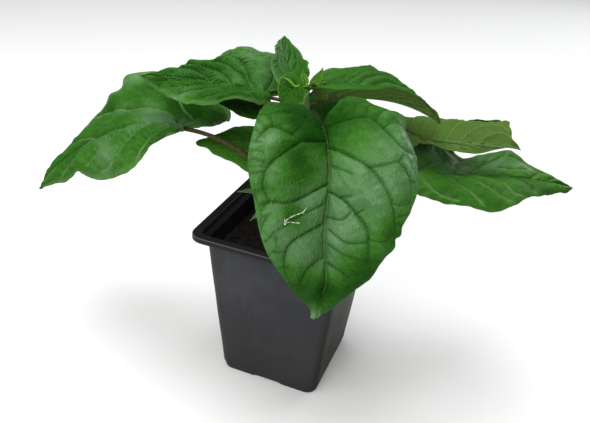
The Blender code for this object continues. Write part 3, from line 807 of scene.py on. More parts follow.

# %% Habits of the single leaves
# Besides how each leaf grew, a habit lists painted light: patches of painted sheen and painted shade, the
# glint on the puckers and painted shade on the stalk.
HABITS = {
    "leaf_front": Habit(
        left=((3, 1.5, 1), (5, 3, 2), (7, 1.5, 1), (12, -2, -1), (17.5, -1, -0.5), (20, 1.5, 1),
            (24, -1, -0.7), (29, -0.5, -0.3), (33, 0.5), (46, -0.3), (51, -1.2), (53.5, -0.2),
            (54.8, -1.4), (57, 0.2), (61, -0.5), (72, 1), (78, 0.5), (86, 1.5), (90, 3), (94, 4.2),
            (97, 3.4), (98.5, 2.3)),
        right=((1.5, 0), (3.7, 2.5, 1), (6.2, 3, 1.3), (8.5, 0, 0.6), (12, 1.5, 1), (14, 0.5, 1),
            (22, -1), (31, 0), (35, 0.5), (45, -0.5), (52, 0.5), (58, 1.3), (72, 1.3), (78, 1.6),
            (84, 1.4), (90, 0.5), (95.5, 1.3), (98.5, 1.7)),
        rib=((45, 0), (60, -0.7), (70, -1.3), (78, 0.5), (84, 2.5), (88, 3), (94, 1)),
        tip=(-4.2, -4.8, 3.5), ladder=0.12, pale=0.12, stalk_shade=0.8, glint=(180, 0.25),
        tone=((50, 0, 44, 0.3), (8, 70, 9, -0.35), (14, -80, 9, -0.4), (24, 40, 10, -0.25),
            (10, -35, 14, -1.1), (24, -30, 9, -0.8), (38, -45, 7, -0.9), (30, -12, 6, -0.4),
            (33, 95, 9, 0.4), (34, -25, 6, 0.3), (14, 20, 10, -0.7), (68, 85, 9, -0.9), (54, 92, 6, -0.8),
            (86, -55, 13, -0.5), (86, 50, 11, -0.5), (93, 0, 9, -0.25), (75, -90, 8, -0.6),
            (78, 55, 5, 0.3), (77, 85, 8, -0.6), (54, -58, 4.5, -0.7), (64, 22, 12, 0.45),
            (68, 15, 6, 0.3), (42, 60, 12, 0.3), (38, -50, 6, -0.4), (46, 16, 9, 0.15), (28, 92, 6, 0.4),
            (54, -32, 6, 0.4), (54, -87, 6, 0.4), (28, -84, 9, 0.35), (62, -72, 7, 0.4),
            (70, -50, 7, 0.3), (78, -33, 6, 0.3), (78, 20, 7, 0.4), (38, -85, 5, 0.1), (98, 0, 5, 1.3))),
    "leaf_upper_left": Habit(
        left=((12, 0), (17, 0, 1), (22, 0, 2), (26, 0, 1), (30, 0, -0.5), (37, 0.4), (46, -0.6), (60, 0),
            (70, 0.8), (86, 3)),
        right=((35, 0.5, 0.5), (40, -0.4, -0.3), (45, 0.8, 0.8), (48, 0.7, 0.7), (53, -0.3),
            (58, -1, -0.8), (63, -2.8, -1.8), (69, -1.8, -1), (73.5, 0.2, 0.2), (75, 1.2, 0.6),
            (77, -0.2), (83, -0.5), (92, -1.7)),
        tip=(4, 0, 0), puff=1.3, ladder=1.3, pale=0.2, rim=0.3, glint=(-60, 1),
        tone=((22, -10, 6, 0.5), (30, -45, 8, 0.35), (28, -88, 6, 0.45), (46, -78, 9, 0.2),
            (46, -10, 6, 0.4), (62, -10, 5, 0.2), (54, 88, 8, 0.85), (40, -80, 7, 0.2), (62, 70, 8, 0.1),
            (22, 92, 7, -0.4), (84, 92, 8, -0.5), (54, 45, 6, -0.3), (74, 0, 14, -0.2),
            (36, 15, 6, -0.35), (66, -60, 8, -0.25))),
    "leaf_far_left": Habit(
        left=((2, 1), (5, 0), (8, -1.9), (12, -2.3), (15.7, -2.5), (20, 1.5), (26, 2.8), (31, 1.5),
            (40, 0), (50, 0), (61, -1.5), (66, -3), (69, -4), (72, -1), (76, 2), (88, 2.3), (96, 1.4)),
        right=((30, 0), (44, 0.4, 1), (47, 1.2, 2.2), (49, 0.8, 1), (51, -1, -1.5), (57, -1.2, -1.4),
            (58, -2.2, -1.8), (65, -2, -1.7), (71, -1.6, -1.1), (77, -1), (82, 0.4), (90, 2), (97, -0.5)),
        rib=((50, 0), (64, -0.5), (72, -2), (80, -3.2), (90, -2.2)),
        folds=((1, 3, 16, 2.6), (-1, 1, 7, 2.4)), puff=1.1, ladder=0.5, pale=0.8, rim=0.3, cord=1.8,
        glint=(-127, 0.6),
        tone=((43, -75, 7, -0.6), (58, -85, 8, -0.5), (24, -8, 7, 0.5), (5, 0, 8, 0.5),
            (62, 0, 26, -0.15), (12, 75, 10, -0.5), (22, -55, 15, -0.95), (31, -56, 9, -0.8),
            (33, -10, 9, 0.85), (40, -38, 9, 0.8), (44, 12, 9, 0.65), (44, 75, 9, 0.6), (30, -76, 4, 0.9),
            (46, -90, 6, 0.8), (54, -55, 6, 0.55), (54, 50, 8, 0.5), (62, 15, 8, 0.35), (6, 25, 10, 0.7),
            (8, -30, 6, 0.8), (84, 30, 12, -0.3), (46, 35, 6, -0.3), (30, 40, 8, -0.2))),
    "leaf_lower_left": Habit(
        left=((40, 0), (56, -1.5), (65, -0.5), (75, 0.7), (85, -0.2), (95, 1.2)),
        right=((90, 0), (96, 1.2, 0.6)),
        # its fresh green is partly painted light: the bright yellow-green of light shining through the
        # blade
        ladder=0.1, fresh=0.6, glint=(-90, 0.3),
        tone=((30, -50, 14, -0.8), (65, -60, 12, -0.6), (40, 0, 6, -0.4))),
    "leaf_upright": Habit(
        left=((22, -2), (28, -1.2), (34, 0), (46, -2), (50, -1), (57, -0.6, 0.8), (63, -2), (70, -2.8),
            (78, -2.2), (88, -0.4)),
        right=((5, -0.5), (13, -1), (21, -1.8), (28, -2.6), (36, -2.4), (49, -2), (60, 0.3), (80, 1.3),
            (89, 1.5)),
        puff=1.3, ladder=0.9, pale=0.35, rim=0.3, glint=(90, 0.6)),
    "leaf_arching_right": Habit(
        left=((10, 0, 3.5), (22, 0, 1.2), (26, 0, 1.8), (37, 0, 2.2), (46, 0, 2.5), (53, 0, 1.7),
            (60, 0, 2.2), (69, 0, 1.2), (75, 0, 1.5), (85, 0, 2.1), (95, 0, 3)),
        right=((20, 0, 3.5), (26, 0, 1.3), (40, 0, 1.6), (50, 0, 1.4), (57, 0, 0.2)),
        ladder=1.1, pale=0.2, glint=(100, 0.6)),
    "leaf_back_right": Habit(
        left=((40, 0), (52, 0, 1.2), (63, 0, -1.6), (72, 0, -1.7), (75, 0), (78.5, 1.2, 0.6), (82, -0.4),
            (87, -1.8), (92, -3.2), (95, -1.3)),
        right=((5, -4), (10, -9), (16, -13), (22, -15), (28, -14.5), (34, -12), (40, -7), (46, -3),
            (52, 0)),
        rib=((20, -5), (35, -10), (50, -13.5), (60, -16), (73, -15.5), (80, -12.5), (90, -7)),
        folds=((1, 38, 74, 5.5),), over=-1, puff=0.8, ladder=0.1, pale=0.7, cord=1.4),
    "leaf_right": Habit(
        left=((22, 0.8), (30, 1.2, 1.2), (39, 1.2, 1), (44.5, 1.2, 1), (49, -0.6, -0.5), (52, -2.5, -2.3),
            (54.5, -3.6, -3.4), (60, -1.3, -1.5), (66, 1, 1.3), (69.5, 2.2, 2.8), (71.5, 2, 2.4),
            (77, 0.4), (90, -0.2)),
        right=((17, -1), (25, -2.2), (27.5, -2.8), (30, -2), (32.5, 0), (36, 1.2), (42, 0), (48, -2),
            (67, -1.1), (87, 0.9), (96, 2)),
        ladder=0.35, pale=0.75, fresh=0.2, cord=1.4, glint=(90, 0.7),
        tone=((14, -60, 8, 0.2), (70, -30, 14, -0.3), (8, -60, 12, 0.9), (12, 50, 12, 0.4),
            (50, 42, 10, 0.5), (50, 75, 7, 0.3), (66, 60, 9, 0.7), (78, 65, 7, 0.5), (25, -45, 11, -0.7),
            (25, -12, 8, -0.4), (24, 92, 6, -0.5), (36, -75, 10, -0.35), (76, -30, 9, -0.3))),
    "leaf_behind_left": Habit(tone=((50, 0, 30, -0.85),)),
    "leaf_back": Habit(ladder=0.2, pale=0.2, tone=((50, 30, 40, -0.8),)),
    "young_leaf_front": Habit(
        puff=1.3, ladder=0.4, pale=0.3, rim=0.5,
        tone=((45, 60, 7, -0.3), (60, -40, 6, -0.3))),
    "young_leaf_right": Habit(pale=0.4, fresh=0.3),
    "tip_leaf_back": Habit(pale=0.6, fresh=0.6),
    "tip_leaf_front": Habit(pale=0.6, fresh=0.9),
    "cotyledon_left": Habit(puff=0.2, ladder=0, pale=0.1, tone=((50, 0, 20, 1.3),)),
    "cotyledon_front": Habit(puff=0.2, ladder=0, pale=0.1, tone=((50, 0, 20, 1.1),)),
}
for name, habit in HABITS.items():
    LEAVES[name].habit = habit
print("leaves with a habit of their own:", len(HABITS))

# %% Spine of a leaf
def petiole_radius(leaf):
    return PETIOLE_BASE + PETIOLE_SHARE * leaf.length


def direction(rise, heading):
    return np.stack([np.cos(rise) * np.cos(heading), np.cos(rise) * np.sin(heading), np.sin(rise)], -1)


def spine(leaf):
    """(distance along, points, rise, heading) from the stem to the tip, by adding up short steps."""
    s = np.linspace(0, leaf.petiole + leaf.length, SPINE_STEPS + 1)
    stations = [0, leaf.petiole, leaf.petiole + leaf.length / 2, leaf.petiole + leaf.length]
    rise = np.radians(smooth(stations, leaf.rise, s))
    heading = np.radians(smooth(stations, leaf.heading, s))
    along = direction(rise, heading)
    off = stem_radius(leaf.node) + GAP + petiole_radius(leaf) * abs(math.sin(rise[0]))
    first = np.array([off * math.cos(heading[0]), off * math.sin(heading[0]), leaf.node])
    steps = (along[1:] + along[:-1]) / 2 * np.diff(s)[:, None]
    return s, np.vstack([first, first + np.cumsum(steps, axis=0)]), rise, heading


def frame_at(leaf, s):
    """(point, forward, sideways to the left, up) of the spine at distances s from the stem."""
    at, points, rise, heading = spine(leaf)
    point = np.stack([np.interp(s, at, points[:, i]) for i in range(3)], -1)
    rise, heading = np.interp(s, at, rise), np.interp(s, at, heading)
    roll = np.radians(smooth([0, 0.5, 1], leaf.roll, np.clip((s - leaf.petiole) / leaf.length, 0, 1)))
    forward = direction(rise, heading)
    level = np.stack([-np.sin(heading), np.cos(heading), 0 * heading], -1)
    above = np.cross(forward, level)
    cos, sin = np.cos(roll)[..., None], np.sin(roll)[..., None]
    return point, forward, level * cos + above * sin, above * cos - level * sin


longest = max(LEAVES, key=lambda name: LEAVES[name].petiole + LEAVES[name].length)
print("longest leaf:", longest, "reaches", np.round(spine(LEAVES[longest])[1][-1], 1))

# %% Flat outline
RIB_PACE = 1.7


def outline(leaf, t, left):
    """The margin (x, y) at t: x = L (t - notch sin(pi t^BELLY) (1 - t)^3), y = W sin(pi t^BELLY)^POINT."""
    bow = np.abs(np.sin(np.pi * t**BELLY))
    notch = np.where(left, *leaf.notch) * bow * (1 - t) ** 3
    return leaf.length * (t - notch), np.where(left, *leaf.width) * bow**POINT


def places(listed, t, column=1):
    """Reads one column of a list of places at t, 0 at both ends."""
    rows = [(0,), *listed, (100,)]
    values = [row[column] if column < len(row) else 0 for row in rows]
    return smooth([row[0] / 100 for row in rows], values, t)


def tip_share(t):
    """0 over most of the blade, rising as a square to 1 over the last fifth."""
    return np.clip((t - 0.8) / 0.2, 0, 1) ** 2


print("leaf_front is", round(float(outline(LEAVES["leaf_front"], 0.4, True)[1]), 1), "mm wide to its left")

# %% Places on the flat blade
def flat_place(leaf, t, v):
    """Where (t, v) lies on the flat blade, in millimetres along the midrib and across it.

    t runs along the margin from base (0) to tip (1); v from the right margin (-1) over the midrib (0) to
    the left margin (1). The midrib's own points are L t^RIB_PACE. The habit pushes the margin out along
    its own normal, fading towards the midrib, and shifts the midrib sideways, fading towards the margin.
    """
    left, small = v >= 0, 1e-3
    habit = leaf.habit
    x, y = outline(leaf, t, left)
    (x0, y0), (x1, y1) = (outline(leaf, np.clip(t + d, 0, 1), left) for d in (-small, small))
    slant = np.hypot(x1 - x0, y1 - y0) + 1e-9
    out = np.where(left, places(habit.left, t), places(habit.right, t)) * np.abs(v)
    x = x - out * (y1 - y0) / slant
    y = y + out * (x1 - x0) / slant
    middle = leaf.length * t**RIB_PACE
    x = middle + (x - middle) * np.abs(v) ** 1.25 + habit.tip[0] * tip_share(t)
    return x, y * v + places(habit.rib, t) * (1 - np.abs(v)) ** 1.5 + habit.tip[1] * tip_share(t)


def raised(leaf, t, v):
    """How far the habit lifts the margin, fading towards the midrib as v^3, and the tip."""
    habit = leaf.habit
    up = np.where(v >= 0, places(habit.left, t, 2), places(habit.right, t, 2))
    return up * np.abs(v) ** 3 + habit.tip[2] * tip_share(t)


middle = flat_place(LEAVES["leaf_front"], np.array([0.5]), np.zeros(1))
print("half-way along leaf_front's midrib:", np.round(middle, 1).ravel(), "mm")

# %% Bending
CREASE = 2.2
FOLD_RADIUS = 0.9


def bend(leaf, x, y, h):
    """Takes a flat place (x, y) and a height h above the blade to its place in space.

    A half's direction across starts level, turns up to its lift within a few millimetres of the midrib,
    and turns on by curl towards its margin; the blade follows its circular arc. Behind the base the lobes
    keep the base's direction and droop.
    """
    left, r = y >= 0, np.abs(y) + 1e-6
    lift = np.radians(np.where(left, *leaf.lift))
    arc = np.radians(np.where(left, *leaf.curl)) * r / (2 * np.where(left, *leaf.width))
    fade = np.exp(-r / CREASE)
    chord = lift * (1 - CREASE / r * (1 - fade)) + arc
    tangent = lift * (1 - fade) + 2 * arc
    point, forward, sideways, up = frame_at(leaf, leaf.petiole + np.clip(x, 0, leaf.length))
    out = r * np.sinc(arc / np.pi) * np.cos(chord) - h * np.sin(tangent)
    rise = r * np.sinc(arc / np.pi) * np.sin(chord) + h * np.cos(tangent)
    behind = np.minimum(x, 0)
    drop = np.radians(leaf.droop) * (-behind / (0.2 * leaf.length))
    point = point + forward * (behind * np.cos(drop))[..., None] + up * (behind * np.sin(drop))[..., None]
    point = point + forward * np.maximum(x - leaf.length, 0)[..., None]
    return point + sideways * np.where(left, out, -out)[..., None] + up * rise[..., None]


bent = bend(LEAVES["leaf_front"], np.array([40.0]), np.array([20.0]), 0)
print("40 mm along and 20 mm out, leaf_front is bent to", np.round(bent[0], 1))

# %% Folded margins
def fold_width(leaf, t, left):
    """How much blade has turned over at t: each fold swells and dies away as a half sine wave."""
    width = 0 * t
    for half, first, last, most in leaf.habit.folds:
        share = np.clip((100 * t - first) / (last - first), 0, 1)
        width = np.maximum(width, np.where(left == (half > 0), most * np.sin(np.pi * share) ** 0.6, 0))
    return width


def fold_over(leaf, t, v, x, y):
    """(y, height, turn) of a blade whose margin turns over: past the fold the sheet runs round a half
    circle of FOLD_RADIUS and back over itself. turn is how far the sheet has turned, 0 to pi."""
    left = v >= 0
    width = fold_width(leaf, t, left)
    margin = np.abs(flat_place(leaf, t, np.where(left, 1.0, -1.0))[1])
    reach = np.abs(y) + width * np.abs(v) ** 4
    past = np.where(width > 0.3, np.clip(reach - margin + FOLD_RADIUS, 0, None), 0)
    turn = np.clip(past / FOLD_RADIUS, 0, np.pi)
    back = np.clip(past - np.pi * FOLD_RADIUS, 0, None)
    folded = margin - FOLD_RADIUS + FOLD_RADIUS * np.sin(turn) - back
    y = np.where(past > 0, np.sign(y) * folded, y + np.sign(y) * (reach - np.abs(y)))
    return y, FOLD_RADIUS * (1 - np.cos(turn)), turn


def place_on(leaf, t, v, off):
    """The point off millimetres above (t, v) of the finished blade, folds and habit included."""
    x, y = flat_place(leaf, t, v)
    y, height, turn = fold_over(leaf, t, v, x, y)
    off = off * leaf.habit.over
    inwards = -np.sign(y) * np.sin(turn) * off
    return bend(leaf, x, y + inwards, raised(leaf, t, v) + height + np.cos(turn) * off)


print("tip of leaf_front at", np.round(place_on(LEAVES["leaf_front"], np.ones(1), np.zeros(1), 0)[0], 1))

# %% [markdown]
# ## Leaves: veins and relief
#
# Pepper leaves are puckered: the blade swells between its sunken veins. The relief is worked out from the
# distance of each point to the nearest vein. Veins are drawn as smooth curves through a few places (t, v)
# in hundredths, so they follow whatever outline the leaf has; finer veins are the borders of scattered
# cells.

# %% Arching veins
def arching_veins(count):
    """A plain network for a leaf whose veins hardly show: side veins leave the midrib in turn left and
    right, arch towards the tip, and each ends near the next one's shoulder."""
    veins = []
    for k in range(count):
        for side, share in ((1, 0.15), (-1, 0.5)):
            t = 16 + 72 * (k + share) / count
            spread = 0.22 * (110 - t) + 6
            veins.append([(t, 0), (t + 0.25 * spread, 35 * side), (t + 0.65 * spread, 65 * side),
                          (t + 1.3 * spread, 86 * side)])
    return veins


print("a plain network has", len(arching_veins(6)), "side veins")

# %% Drawn veins
VEINS = {
    "leaf_front": (
        [(27, -2), (30, -37), (27, -51), (24, -75), (27, -89), (29, -94)],
        [(30, -37), (33, -51), (37, -76), (40, -85), (43, -87), (47, -82)],
        [(50, 0), (51, -35), (50, -61), (47, -83), (48, -94)],
        [(65, 0), (63, -40), (62, -68), (65, -84), (69, -93)], [(77, 0), (76, -30), (75, -59), (76, -79)],
        [(10, 5), (17, 38), (21, 58), (24, 65), (31, 81), (31, 98)],
        [(31, 0), (37, 25), (40, 46), (45, 69), (50, 86), (54, 93)],
        [(53, 0), (54, 27), (56, 48), (58, 62), (61, 70), (66, 84)],
        [(79, 0), (77, 43), (76, 64), (76, 70)]),
    "leaf_right": (
        [(12, 0), (21, 4), (34, 34), (42, 52)], [(54.5, 2), (60, 44), (65, 66), (69, 83), (69, 99)],
        [(69, 83), (75, 90), (79, 91), (84, 79)], [(85, 0), (85, 41), (85, 73), (87, 85)],
        [(92, 0), (91, 40), (91, 80)], [(26, 61), (38, 85), (49, 84), (53, 79)],
        [(12, -5), (17, -55), (21, -84), (28, -94)], [(28, 0), (31, -50), (33, -74), (34, -94)],
        [(40, 0), (40, -40), (41, -80), (43, -94)], [(56, 0), (52, -50), (48, -85), (50, -95)],
        [(70, 0), (66, -50), (63, -90)]),
    "leaf_far_left": (
        [(5, 0), (16, -10), (30, -30), (42, -42), (51, -47), (62, -77), (66, -93)],
        [(4, 0), (17, -39), (27, -50), (36, -80)],
        [(30, 0), (35, 33), (37, 51), (38, 68), (41, 81), (48, 88)],
        [(50, 0), (54, 34), (57, 48), (60, 66), (61, 77)], [(12, 0), (16, 35), (20, 70), (22, 90)],
        [(70, 0), (74, -40), (78, -80)], [(74, 0), (77, 40), (80, 80)]),
    "leaf_upper_left": (
        [(14, 0), (32, -16), (40, -40), (45, -58), (53, -78), (56, -95)],
        [(10, 0), (18, -30), (24, -56), (32, -82), (31, -99)], [(30, 0), (42, -30), (52, -50), (64, -80)],
        [(45, 0), (56, -30), (66, -55), (78, -85)], [(62, 0), (72, -40), (82, -75)],
        [(16, 0), (26, 30), (34, 60), (40, 92)], [(32, 0), (44, 30), (53, 60), (60, 90)],
        [(50, 0), (61, 35), (70, 75)], [(68, 0), (78, 40), (86, 75)]),
}
CROSS_VEINS = {
    "leaf_front": (
        [(40, 46), (36, 72), (33, 80)], [(47, 76), (46, 85), (44, 95)], [(50, 86), (47, 97)],
        [(53, 20), (51, 33)], [(56, 42), (53, 49)], [(63, -2), (60, 27), (56, 36)],
        [(60, 67), (57, 84), (54, 94)], [(36, 72), (37, 81), (39, 89), (38, 97)], [(66, 85), (63, 97)],
        [(43, -87), (42, -98)], [(36, -81), (34, -95)], [(47, -83), (46, -95)], [(60, -93), (63, -79)],
        [(66, -97), (68, -85)], [(42, 5), (44, 30)], [(17, 40), (11, 62), (10, 85)],
        [(14, 30), (8, 45), (6, 70)], [(20, 52), (15, 70), (15, 93)], [(22, 60), (19, 76), (20, 95)],
        [(25, 68), (23, 82), (24.5, 97)], [(66, 10), (65, 45), (61, 68)], [(71, 10), (69, 50), (66, 80)],
        [(15, -30), (17, -60), (20, -90)], [(27, -50), (22, -40), (12, -35)],
        [(57, -10), (56, -45), (55, -80)], [(27, -88), (24.5, -98)], [(30, -86), (28.5, -98)],
        [(33, -84), (31.5, -98)], [(38.5, -84), (37.5, -98)], [(24, -76), (20, -85), (19, -97)],
        [(50, -88), (52, -97)], [(55, -84), (56, -97)], [(72, 72), (73, 93)]),
    "leaf_right": (
        [(30, 72), (27, 96)], [(35, 80), (33, 97)], [(41, 86), (40, 97)], [(62, 52), (74, 50), (80, 62)],
        [(88, 0), (88, 50)], [(45, 5), (50, 55)]),
}

print("drawn veins:", {name: len(VEINS[name]) + len(CROSS_VEINS.get(name, ())) for name in VEINS})

# %% Distances to veins
def curve_on(drawn, steps):
    """(t, v) along a smooth curve through places drawn in hundredths, with so many steps between two."""
    along = np.arange(len(drawn), dtype=float)
    read = np.linspace(0, len(drawn) - 1, steps * (len(drawn) - 1) + 1)
    return [smooth(along, values, read) for values in np.array(drawn, float).T / 100]


def vein_lines(leaf, veins):
    """Each vein as a line of flat points."""
    curves = (curve_on(vein, 6) for vein in veins)
    return [np.stack(flat_place(leaf, np.clip(t, 0, 1), v), -1) for t, v in curves]


def nearest_line(x, y, lines):
    """(distance to the nearest line, distance along it) for each flat point."""
    nearest, along = np.full(x.shape, 1e9), np.zeros(x.shape)
    for line in lines:
        done = 0.0
        for (ax, ay), (bx, by) in zip(line[:-1], line[1:]):
            ux, uy = bx - ax, by - ay
            length = max(math.hypot(ux, uy), 1e-6)
            u = np.clip(((x - ax) * ux + (y - ay) * uy) / length**2, 0, 1)
            away = np.hypot(x - ax - u * ux, y - ay - u * uy)
            along = np.where(away < nearest, done + u * length, along)
            nearest = np.minimum(nearest, away)
            done += length
    return nearest, along


def cell_border(leaf, x, y, size, seed):
    """Distance to the nearest border between cells about size apart: half the difference between the
    distances to the nearest and the second nearest seed of a jittered grid."""
    draw = np.random.default_rng(seed)
    gx, gy = np.meshgrid(np.arange(-0.45 * leaf.length, 1.1 * leaf.length, size),
                         np.arange(-1.15 * leaf.width[1], 1.15 * leaf.width[0], size))
    seeds = np.stack([gx.ravel(), gy.ravel()], -1) + draw.uniform(-0.42, 0.42, (gx.size, 2)) * size
    flat = np.stack([x.ravel(), y.ravel()], -1).astype(np.float32)
    away = np.sqrt(((flat[:, None] - seeds[None].astype(np.float32)) ** 2).sum(-1))
    two = np.partition(away, 1, axis=1)[:, :2]
    return ((two[:, 1] - two[:, 0]) / 2).reshape(x.shape)


print("a point 3 mm beside a line and 4 mm along it:",
      nearest_line(np.array([4.0]), np.array([3.0]), [[(0, 0), (9, 0)]]))

# %% Swellings and valleys
SIDE_SWELL, FLANK_SWELL, CROSS_SWELL, CELL_SWELL = (2.2, 4.5), (0.55, 0.9), (0.50, 1.3), (0.45, 1)
SIDE_VALLEY, CROSS_VALLEY = (0.4, 0.45), (0.24, 0.35)  # heights or depths, and how far they reach
WAVES = ((0.5, 15), (0.30, 5.5))
RUNG, RUNG_HEIGHT, RUNG_REACH = 2.7, 0.5, 6
CELL = 7.5
RIB_POINTS = 40
CORD, CORD_THINS = 0.62, 0.3  # the midrib's cord: its size at the base and what it loses by the tip
CORD_RISE, CORD_HOLLOW = (0.55, 0.6), (1.1, 2)  # heights or depths, and how far they reach, in cords
PANEL_EDGES = (1.5, 1.1, 0.9)  # how far a panel's edge lies from side, cross and fine veins
FULL_SIZE = {False: 97, True: 60}  # the blade length, grown or young, for which these sizes are right


def bell(distance, reach):
    """1 at distance 0, dying away as exp(-(distance / reach)^2)."""
    return np.exp(-((distance / reach) ** 2))


def swell(distance, height, reach):
    """0 at distance 0, rising towards height as 1 - exp(-distance / reach)."""
    return height * (1 - np.exp(-distance / reach))


print("2 mm from a side vein the blade swells by", round(float(swell(2, *SIDE_SWELL)), 2), "mm")

# %% Relief of a blade
def relief(name, leaf, t, v):
    """(height, rib, side, fine, panel) of the blade: its height above its smooth bent surface, and how much
    a point is midrib, side vein, fine vein or swollen panel between them.

    The blade swells away from each vein, widely from the side veins and narrowly from cross veins and the
    fine veins between scattered cells, and a valley runs along each vein. Rungs are a wave along the side
    veins that dies away with distance. All die away at the margin; the midrib's cord stands in a hollow.
    Lengths are in millimetres on a full-sized leaf, and size scales them to this one.
    """
    habit = leaf.habit
    puff = habit.puff
    size = float(np.clip(leaf.length / FULL_SIZE[leaf.young], 0.3, 1.1))
    x, y = flat_place(leaf, t, v)
    along = np.linspace(0, 1, RIB_POINTS)
    rib_line = np.stack(flat_place(leaf, along, 0 * along), -1)
    drawn = VEINS.get(name) or arching_veins(6 if leaf.length > 40 else 4)
    networks = ([rib_line], vein_lines(leaf, CROSS_VEINS.get(name, ())), vein_lines(leaf, drawn))
    midrib, cross, side = (np.array(nearest_line(x, y, lines)) / size for lines in networks)
    midrib, cross, (side, run) = midrib[0], cross[0], side
    near = np.minimum(side, midrib)
    outer = np.clip((np.abs(v) - 0.55) / 0.3, 0, 1)
    fine = cell_border(leaf, x, y, CELL * size, seed=len(name)) / size + 2.5 * (1 - outer)
    height = swell(near, *SIDE_SWELL) + swell(near, *FLANK_SWELL) + swell(cross, *CROSS_SWELL)
    height += swell(fine, *CELL_SWELL) * outer
    for away, (depth, reach) in ((side, SIDE_VALLEY), (cross, CROSS_VALLEY)):
        height -= depth * bell(away, reach)
    rungs = np.sin(2 * np.pi * (run + 0.35 * near) / RUNG + 2 * ripples(x, y, 12 * size, 8))
    rungs *= habit.ladder * bell(near, RUNG_REACH) * swell(near, RUNG_HEIGHT, 1)
    height = (puff * height + rungs) * (1 - np.abs(v) ** 6)
    for k, ((amount, wave), share) in enumerate(zip(WAVES, (1, 0.4 + 0.6 * np.abs(v)))):
        height += amount * puff * ripples(x, y, wave * size, len(name) + 5 + k) * share
    cord = habit.cord * (CORD - CORD_THINS * np.clip(x / leaf.length, 0, 1))
    (rise, reach), (hollow, wide) = CORD_RISE, CORD_HOLLOW
    height += cord * (rise * bell(midrib, reach * cord) - hollow * bell(midrib, wide * cord))
    near_edge, cross_edge, fine_edge = PANEL_EDGES
    panel = np.minimum(np.minimum(near / near_edge, cross / cross_edge), fine / fine_edge + 0.2 / size)
    fine = np.maximum(bell(cross, 0.36), 0.7 * bell(fine, 0.24) * outer)
    rib, side = bell(midrib, 0.7 * cord), bell(side, 0.32 * habit.cord)
    return height * size, rib, side, fine, np.tanh(panel)


swollen = relief("leaf_front", LEAVES["leaf_front"], *np.full((2, 1, 1), 0.5))[0].item()
print("leaf_front swells by", round(swollen, 2), "mm half-way out")

# %% [markdown]
# ## Leaves: paint
#
# Grown leaves are deep green with a half-gloss of wax, paler along the veins and olive underneath; the
# stalk and the foot of the midrib are purple-brown. Light and shade are painted into the colour as well:
# a painted sheen in patches and on one flank of each pucker, painted shade in patches, beside and in the
# vein valleys and on one stalk. One material serves all of them: what differs over a leaf is carried by
# point attributes, which the relief and the bending already know.

# %% Leaf paint
MASKS = ("panel", "vein", "underside", "stalk", "scar", "fresh", "hollow", "sheen", "deep")
# painted shade: these shares of the deep green are what is left where shade is painted
SHADE = (0.2, 0.42, 0.15)  # shares of the deep green that dark places keep
# a painted sheen: the pale grey-green mixed in where the leaves catch the light
PAINTED_SHEEN_GREEN = (0.120, 0.228, 0.115)
UNDER_VEIN = (0.20, 0.27, 0.10)
# the stalk's own purple and olive, and the painted shade laid over it
PURPLE, OLIVE, STALK_SHADE = (0.050, 0.022, 0.018), (0.060, 0.045, 0.018), (0.010, 0.013, 0.004)
DRY = (0.85, 0.85, 0.76)
LEAF_SURFACE = {"Specular IOR Level": 0.03, "Coat Roughness": 0.30, "Coat IOR": 1.45}


def leaf_paint(name, light, deep, young, vein, under, gloss):
    """light and deep are the two greens that a grown blade varies between, young is young tissue's. The
    sheen mask paints a pale sheen into the colour, and the blade's wax is a coat, thick where that sheen
    is and thin elsewhere. Painted shade falls beside the veins, in their valleys and where the deep mask
    is set."""
    paint = Paint(name)
    flat, place = paint.place("flat"), paint.place()
    patches = paint.noise(place, 0.016)
    mottle = paint.noise(flat, 2.4)
    mesh = paint.cells(flat, 1.3)
    grain = paint.noise(flat, 0.55, 2, 0.6)
    panel, pale, below, stalk, scar, fresh, hollow, sheen, dark = (paint.attribute(key) for key in MASKS)
    # painted shade, made from the deep green
    shade = tuple(share * channel for share, channel in zip(SHADE, deep))
    # a painted sheen, broken up by the leaf's cells and grain
    painted_sheen = sheen * (mesh.step(0, 0.25) * 0.35 + grain * 0.5 + 0.4)
    # the stalk's own colours, under painted shade where the deep mask is set
    brown = paint.layers(PURPLE, (mottle.step(0.35, 0.65), OLIVE), (dark, STALK_SHADE))
    # painted light among these layers: painted shade beside the veins, where the deep mask is set and in
    # the vein valleys, and a painted sheen
    colour = paint.layers(
        deep, ((patches * 0.6 + mottle * 0.4).step(0.3, 0.7), light), (fresh, young),
        (mesh.step(0, 0.14) * -0.10 + 0.10, vein), ((1 - panel) * 0.4, deep), (dark * 0.9, shade),
        (painted_sheen, PAINTED_SHEEN_GREEN), (hollow * 0.85, shade), (pale * 0.85, vein), (below * 0.9, under),
        (below * pale * 0.7, UNDER_VEIN), (stalk, brown), (scar, DRY))
    roughness = patches * 0.10 + mottle * 0.08 + below * 0.22 + dark * 0.15 + gloss
    normal = paint.bump(grain * 0.8 + mesh.step(0, 0.3) * 0.7, 0.00045, 0.8)
    coat = sheen * 0.5 + (1 - dark) * (1 - below) * 0.04
    return paint.finish(LEAF_SURFACE, Base_Color=colour, Roughness=roughness, Coat_Weight=coat,
                        Normal=normal)


GREEN = leaf_paint(
    "leaf_green", light=(0.036, 0.146, 0.014), deep=(0.019, 0.094, 0.006), young=(0.060, 0.210, 0.008),
    vein=(0.160, 0.300, 0.095), under=(0.072, 0.142, 0.026), gloss=0.30)
YOUNG_GREEN = leaf_paint(
    "young_leaf_green", light=(0.021, 0.108, 0.004), deep=(0.014, 0.080, 0.002),
    young=(0.155, 0.370, 0.025), vein=(0.165, 0.300, 0.080), under=(0.070, 0.165, 0.020), gloss=0.34)
print("leaf paints:", GREEN.name, YOUNG_GREEN.name)

# %% Painted sheen and painted shade
FLAT_SLOPE = 1e-6


